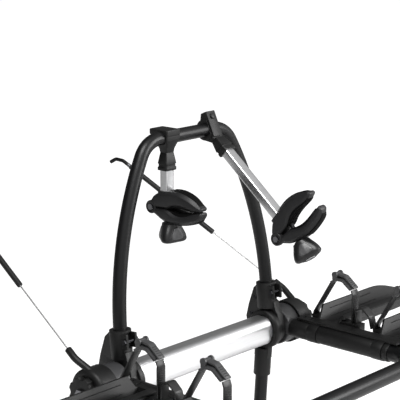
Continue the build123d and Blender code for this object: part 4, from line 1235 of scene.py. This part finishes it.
@dataclass
class Arm:
    """A bike arm: clamp on the hoop, collar, tube, two jaws and the screw that closes them."""

    name: str
    x: float
    tilt: float
    hinge_s: float
    opening: float
    knob_turn: float
    hinge_n: float = 26.0
    bar: Pair = (-15.06, 666.94)
    tube_half_n: float = 8.75
    tube_half_x: float = 11.0
    tube_corner: float = 3.4
    tube_from: float = 40.0
    tube_to_hinge: float = 30.0
    seat: Triple = (12.0, 14.5, 4.0)
    seat_span: Pair = (22.0, 31.5)
    screw_reach: float = 35.0

    def axes(self) -> Axes:
        """The arm's own axes.

        Returns:
            Axes with a along the arm from the hoop's bar, b square to it and c to the right.
        """
        swing = math.radians(self.tilt)
        down = Vector((0, math.sin(swing), -math.cos(swing)))
        return Axes(Vector((self.x, *self.bar)), down, Vector((0, math.cos(swing), math.sin(swing))), RIGHT)

    def jaw_axes(self) -> Axes:
        """a from the hinge to the tips and b towards the hoop's bar."""
        arm = self.axes()
        return Axes(arm.origin + arm.a * self.hinge_s + arm.b * self.hinge_n, -arm.b, -arm.a, RIGHT)

    def tube_finish(self) -> Finish:
        """Brushed aluminium whose lines run across this arm."""
        return BrushedFinish(f"brushed_anodised_aluminium_{self.name}_arm", "cfcfd0", "brushed_silver", 0.30,
                             1.0, grain_mm=1.4, grain_depth_mm=0.03, stretch=(0.12, 0.12, 1.0),
                             turn=(math.radians(-self.tilt), 0.0, 0.0), brush=0.10)

    def hinge(self, jaw: Axes) -> Solid:
        """The two round ears of the hinge.

        Args:
            jaw: the jaw's axes.

        Returns:
            Their shells.
        """
        profile = ((5.0, 9.3), (12.3, 9.3), (12.5, 10.0), (12.5, 16.4), (11.4, 17.9), (9.6, 17.9),
                   (8.4, 16.9), (5.0, 16.9))
        return Solid().join(*(turning([(r, sign * c) for r, c in profile], jaw, 40, True)
                              for sign in (-1, 1)))

    def square_clamp(self, arm: Axes) -> Solid:
        """The block over the hoop's bar and the column that tapers to the collar.

        Args:
            arm: the arm's axes.

        Returns:
            Their shells.
        """
        def ring(s: float, back: float, ahead: float, half: float, corner: float) -> list[Vector]:
            """A rounded rectangle across the arm, at a distance along it."""
            middle, deep = (ahead - back) / 2, (ahead + back) / 2
            return [arm.at(s, middle + b, c) for b, c in rounded(deep, half, corner)]

        block = loft([ring(-15.8, 17.0, 27.0, 17.0, 2.5), ring(-14.8, 17.6, 28.0, 18.0, 3.0),
                      ring(-7.0, 17.6, 28.0, 18.0, 3.0), ring(-4.0, 17.2, 25.0, 18.0, 3.0)])
        column = loft([ring(-8.0, 17.2, 17.2, 18.0, 3.0), ring(4.0, 16.8, 16.8, 17.2, 3.0),
                       ring(11.0, 13.5, 13.5, 14.5, 3.0), ring(20.0, 9.6, 9.6, 11.6, 2.5),
                       ring(27.0, 8.4, 8.4, 10.4, 2.0)])
        return block.join(column)

    def build(self) -> None:
        """Makes every piece of the arm."""
        arm, jaw, name = self.axes(), self.jaw_axes(), self.name
        swung = jaw.swung(self.opening)
        body, jaw_body = f"{name}_arm", f"{name}_jaw"
        outline = rounded(self.tube_half_n, self.tube_half_x, self.tube_corner)
        span = (self.tube_from, self.hinge_s - self.tube_to_hinge)
        rings = [[arm.at(s, b, c) for b, c in outline] for s in span]
        piece(f"{name}_brushed_tube", loft(rings), self.tube_finish(), body, [f"{name}_arm_tube"])
        softened(f"{name}_arm_collar", f"{name}_collar_moulding", BLACK_NYLON, body, 0.9)
        if name == "long":
            softened("long_arm_clamp", "long_clamp_moulding", BLACK_NYLON, body, 1.0)
            softened("long_arm_cap", "long_cap_moulding", BLACK_NYLON, body, 0.8)
        else:
            piece("short_clamp_moulding", self.square_clamp(arm), BLACK_NYLON, body, ["short_arm_clamp"], 1.4)
        seat = rounded(*self.seat)
        socket = loft([[jaw.at(self.hinge_n + b, t, c) for b, c in seat] for t in self.seat_span])
        upper = UPPER_JAW.body(jaw).join(self.hinge(jaw), socket)
        for which, shape, claw, axes, rider in (
                ("upper", UPPER_JAW, upper, jaw, body),
                ("lower", LOWER_JAW, LOWER_JAW.body(swung), swung, jaw_body)):
            stem = f"{name}_{which}"
            piece(f"{stem}_claw", claw, CHARCOAL_NYLON, rider, [f"{stem}_jaw"], 0.7)
            piece(f"{stem}_band", shape.band(axes), RUBBER, rider)
            piece(f"{stem}_pad", shape.liner(axes), RUBBER, rider, [f"{stem}_liner"])
        dress(f"{name}_hinge_pin", ZINC)
        dress(f"{name}_draw_screw", BLACK_STEEL)
        self.knob(swung)

    def knob(self, swung: Axes) -> None:
        """The knob under the lower jaw, with its panels and lock.

        Args:
            swung: the axes of the lower jaw as it stands open.
        """
        knob, stem = Knob(turn=self.knob_turn), f"{self.name}_knob"
        foot = Vector(swung.at(self.screw_reach, -knob.top)) / MM
        down = Axes(foot, RIGHT, (-swung.b).cross(RIGHT), -swung.b)
        piece(f"{stem}_moulding", knob.body(down), KNOB_NYLON, stem, [stem], sharp=28)
        panels = Solid().join(*(knob.panel(down, number) for number in range(3)))
        piece(f"{stem}_panels", panels, PANEL_PLASTIC, stem, [f"{stem}_trim"])
        end = knob.height
        profile = ((0.5, -6.0), (9.6, -6.0), (9.8, 0.9), (9.0, 1.7), (0.5, 1.7))
        lock = turning([(r, end + c) for r, c in profile], down, 36)
        piece(f"{stem}_lock", lock, LOCK_STEEL, stem)


@dataclass
class UpperCable:
    """A steel cable from its winder, with its sleeve, crimp and tailgate hook."""

    route: tuple[Triple, ...] = (
        (281.0, -16.0, 29.0), (292.4, 32.0, 55.5), (285.2, 80.6, 82.4), (267.1, 204.0, 150.5))
    wire_d: float = 2.8

    def build(self) -> None:
        """Makes the wire and dresses what is on it."""
        for side in Side:
            tag = side.value
            points = [hub(side.sign * x, y, z) for x, y, z in self.route]
            curve = bpy.data.curves.new(f"cable_rope_{tag}", "CURVE")
            curve.dimensions = "3D"
            curve.bevel_depth, curve.bevel_resolution, curve.resolution_u = self.wire_d / 2 * MM, 4, 24
            curve.use_fill_caps = True
            spline = curve.splines.new("NURBS")
            spline.points.add(len(points) - 1)
            for point, place in zip(spline.points, points):
                point.co = (*place, 1.0)
            spline.order_u, spline.use_endpoint_u = 3, True
            rope = stand(f"cable_rope_{tag}", curve)
            curve.materials.append(WIRE.material())
            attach(rope, "platform")
            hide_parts(f"cable_wire_{tag}")
            log.info("%s: a curve through %d points", rope.name, len(points))
            dress(f"cable_sleeve_{tag}", SLEEVE_RUBBER)
            dress(f"cable_crimp_{tag}", ZINC)
            dress(f"cable_hook_{tag}", SATIN_COAT)


@dataclass
class Studio:
    """The floor, the lamps, the world and the camera."""

    eye: Triple = (-1.8810, -1.7382, 1.1240)
    look: Triple = (0.72542, 0.65125, -0.22282)
    lens: float = 126.0
    pale: str = "f2f2f2"
    floor_half: float = 16.0
    floor_fade: Pair = (0.6, 3.2)
    floor_lift: Pair = (0.30, 0.74)
    dome_plain: float = 0.30
    dome_turn: Pair = (0.45, -0.55)
    dome_shine: Pair = (0.12, 1.1)
    aim: Triple = (0.0, 0.0, 0.4)

    def aimed(self, name: str, data: ID, place: Sequence[float], way: Vector) -> Object:
        """Stands a lamp or camera in its place and turns it.

        Args:
            name: the object's name.
            data: its lamp or camera data.
            place: where it stands.
            way: the way that it looks.

        Returns:
            The object.
        """
        obj = stand(name, data)
        obj.location = place
        obj.rotation_euler = way.to_track_quat("-Z", "Y").to_euler()
        return obj

    def lamp(self, name: str, place: Sequence[float], size: float, watts: float) -> None:
        """A square soft lamp aimed at the rack.

        Args:
            name: the lamp's name.
            place: where it hangs.
            size: the length of its side in metres.
            watts: its power.
        """
        data = bpy.data.lights.new(name, "AREA")
        data.shape, data.size, data.energy = "SQUARE", size, watts
        self.aimed(name, data, place, Vector(self.aim) - Vector(place))

    def world(self) -> None:
        """A plain grey dome that is white to the camera and graded from dark to bright in reflections."""
        world = bpy.data.worlds.new("studio")
        tree = fresh_tree(world)
        path = add_node(tree, "ShaderNodeLightPath").outputs
        either = add_node(tree, "ShaderNodeMath", {
            "operation": "MAXIMUM", 0: path["Is Camera Ray"], 1: path["Is Transmission Ray"]})
        way = add_node(tree, "ShaderNodeTexCoord")
        split = add_node(tree, "ShaderNodeSeparateXYZ", Vector=way.outputs["Generated"])
        shade = ramp(tree, split.outputs["Y"], self.dome_turn, self.dome_shine)
        seen = add_node(tree, "ShaderNodeMix", {
            "data_type": "FLOAT", 0: path["Is Glossy Ray"], 2: self.dome_plain, 3: shade})
        level = add_node(tree, "ShaderNodeMix", {
            "data_type": "FLOAT", 0: either.outputs[0], 2: seen.outputs[0], 3: 1.0})
        glow = add_node(tree, "ShaderNodeBackground", {"Color": (1, 1, 1, 1)}, Strength=level.outputs[0])
        add_node(tree, "ShaderNodeOutputWorld", {0: glow.outputs[0]})
        bpy.context.scene.world = world

    def floor(self) -> None:
        """A pale floor under the rack that keeps its shadow and fades to white away from it."""
        low, far = CAD_BOX[0][2] - 0.001, self.floor_half
        corners = [(-far, -far, low), (far, -far, low), (far, far, low), (-far, far, low)]
        obj = stand("studio_floor", raw_mesh("studio_floor", corners, faces=[(0, 1, 2, 3)]))
        made = bpy.data.materials.new("pale_studio_floor")
        tree = fresh_tree(made)
        matt = add_node(tree, "ShaderNodeBsdfDiffuse", {"Color": linear(self.pale)})
        seen = add_node(tree, "ShaderNodeLightPath")
        where = add_node(tree, "ShaderNodeTexCoord")
        away = add_node(tree, "ShaderNodeVectorMath", {"operation": "LENGTH", 0: where.outputs["Object"]})
        grade = ramp(tree, away.outputs["Value"], self.floor_fade, self.floor_lift)
        lift = add_node(tree, "ShaderNodeMath", {
            "operation": "MULTIPLY", 0: grade, 1: seen.outputs["Is Camera Ray"]})
        glow = add_node(tree, "ShaderNodeEmission", {"Color": (1, 1, 1, 1)}, Strength=lift.outputs[0])
        both = add_node(tree, "ShaderNodeAddShader", {0: matt.outputs[0], 1: glow.outputs[0]})
        add_node(tree, "ShaderNodeOutputMaterial", {0: both.outputs[0]})
        obj.data.materials.append(made)

    def build(self) -> None:
        """Sets up the whole studio."""
        scene = bpy.context.scene
        scene.view_settings.view_transform = "Standard"
        camera = bpy.data.cameras.new("camera")
        camera.lens, camera.sensor_width, camera.clip_end = self.lens, 36.0, 50.0
        scene.camera = self.aimed("camera", camera, self.eye, Vector(self.look))
        self.world()
        self.floor()
        self.lamp("key", (1.6, -2.4, 1.5), 1.6, 90.0)
        self.lamp("top", (-1.1, -0.7, 2.6), 1.2, 62.0)


def main() -> None:
    """Builds the rack's looks and the studio."""
    logging.basicConfig(level=logging.INFO, format="%(name)s %(message)s")
    Hoop().build()
    Platform().build()
    LowerFrame().build()
    Trays().build()
    Arm("short", -52.0, 0.0, 131.0, 0.0, 39.0).build()
    Arm("long", 64.0, -50.5, 252.0, 12.0, 85.0).build()
    UpperCable().build()
    Studio().build()


if __name__ == "__main__":
    main()
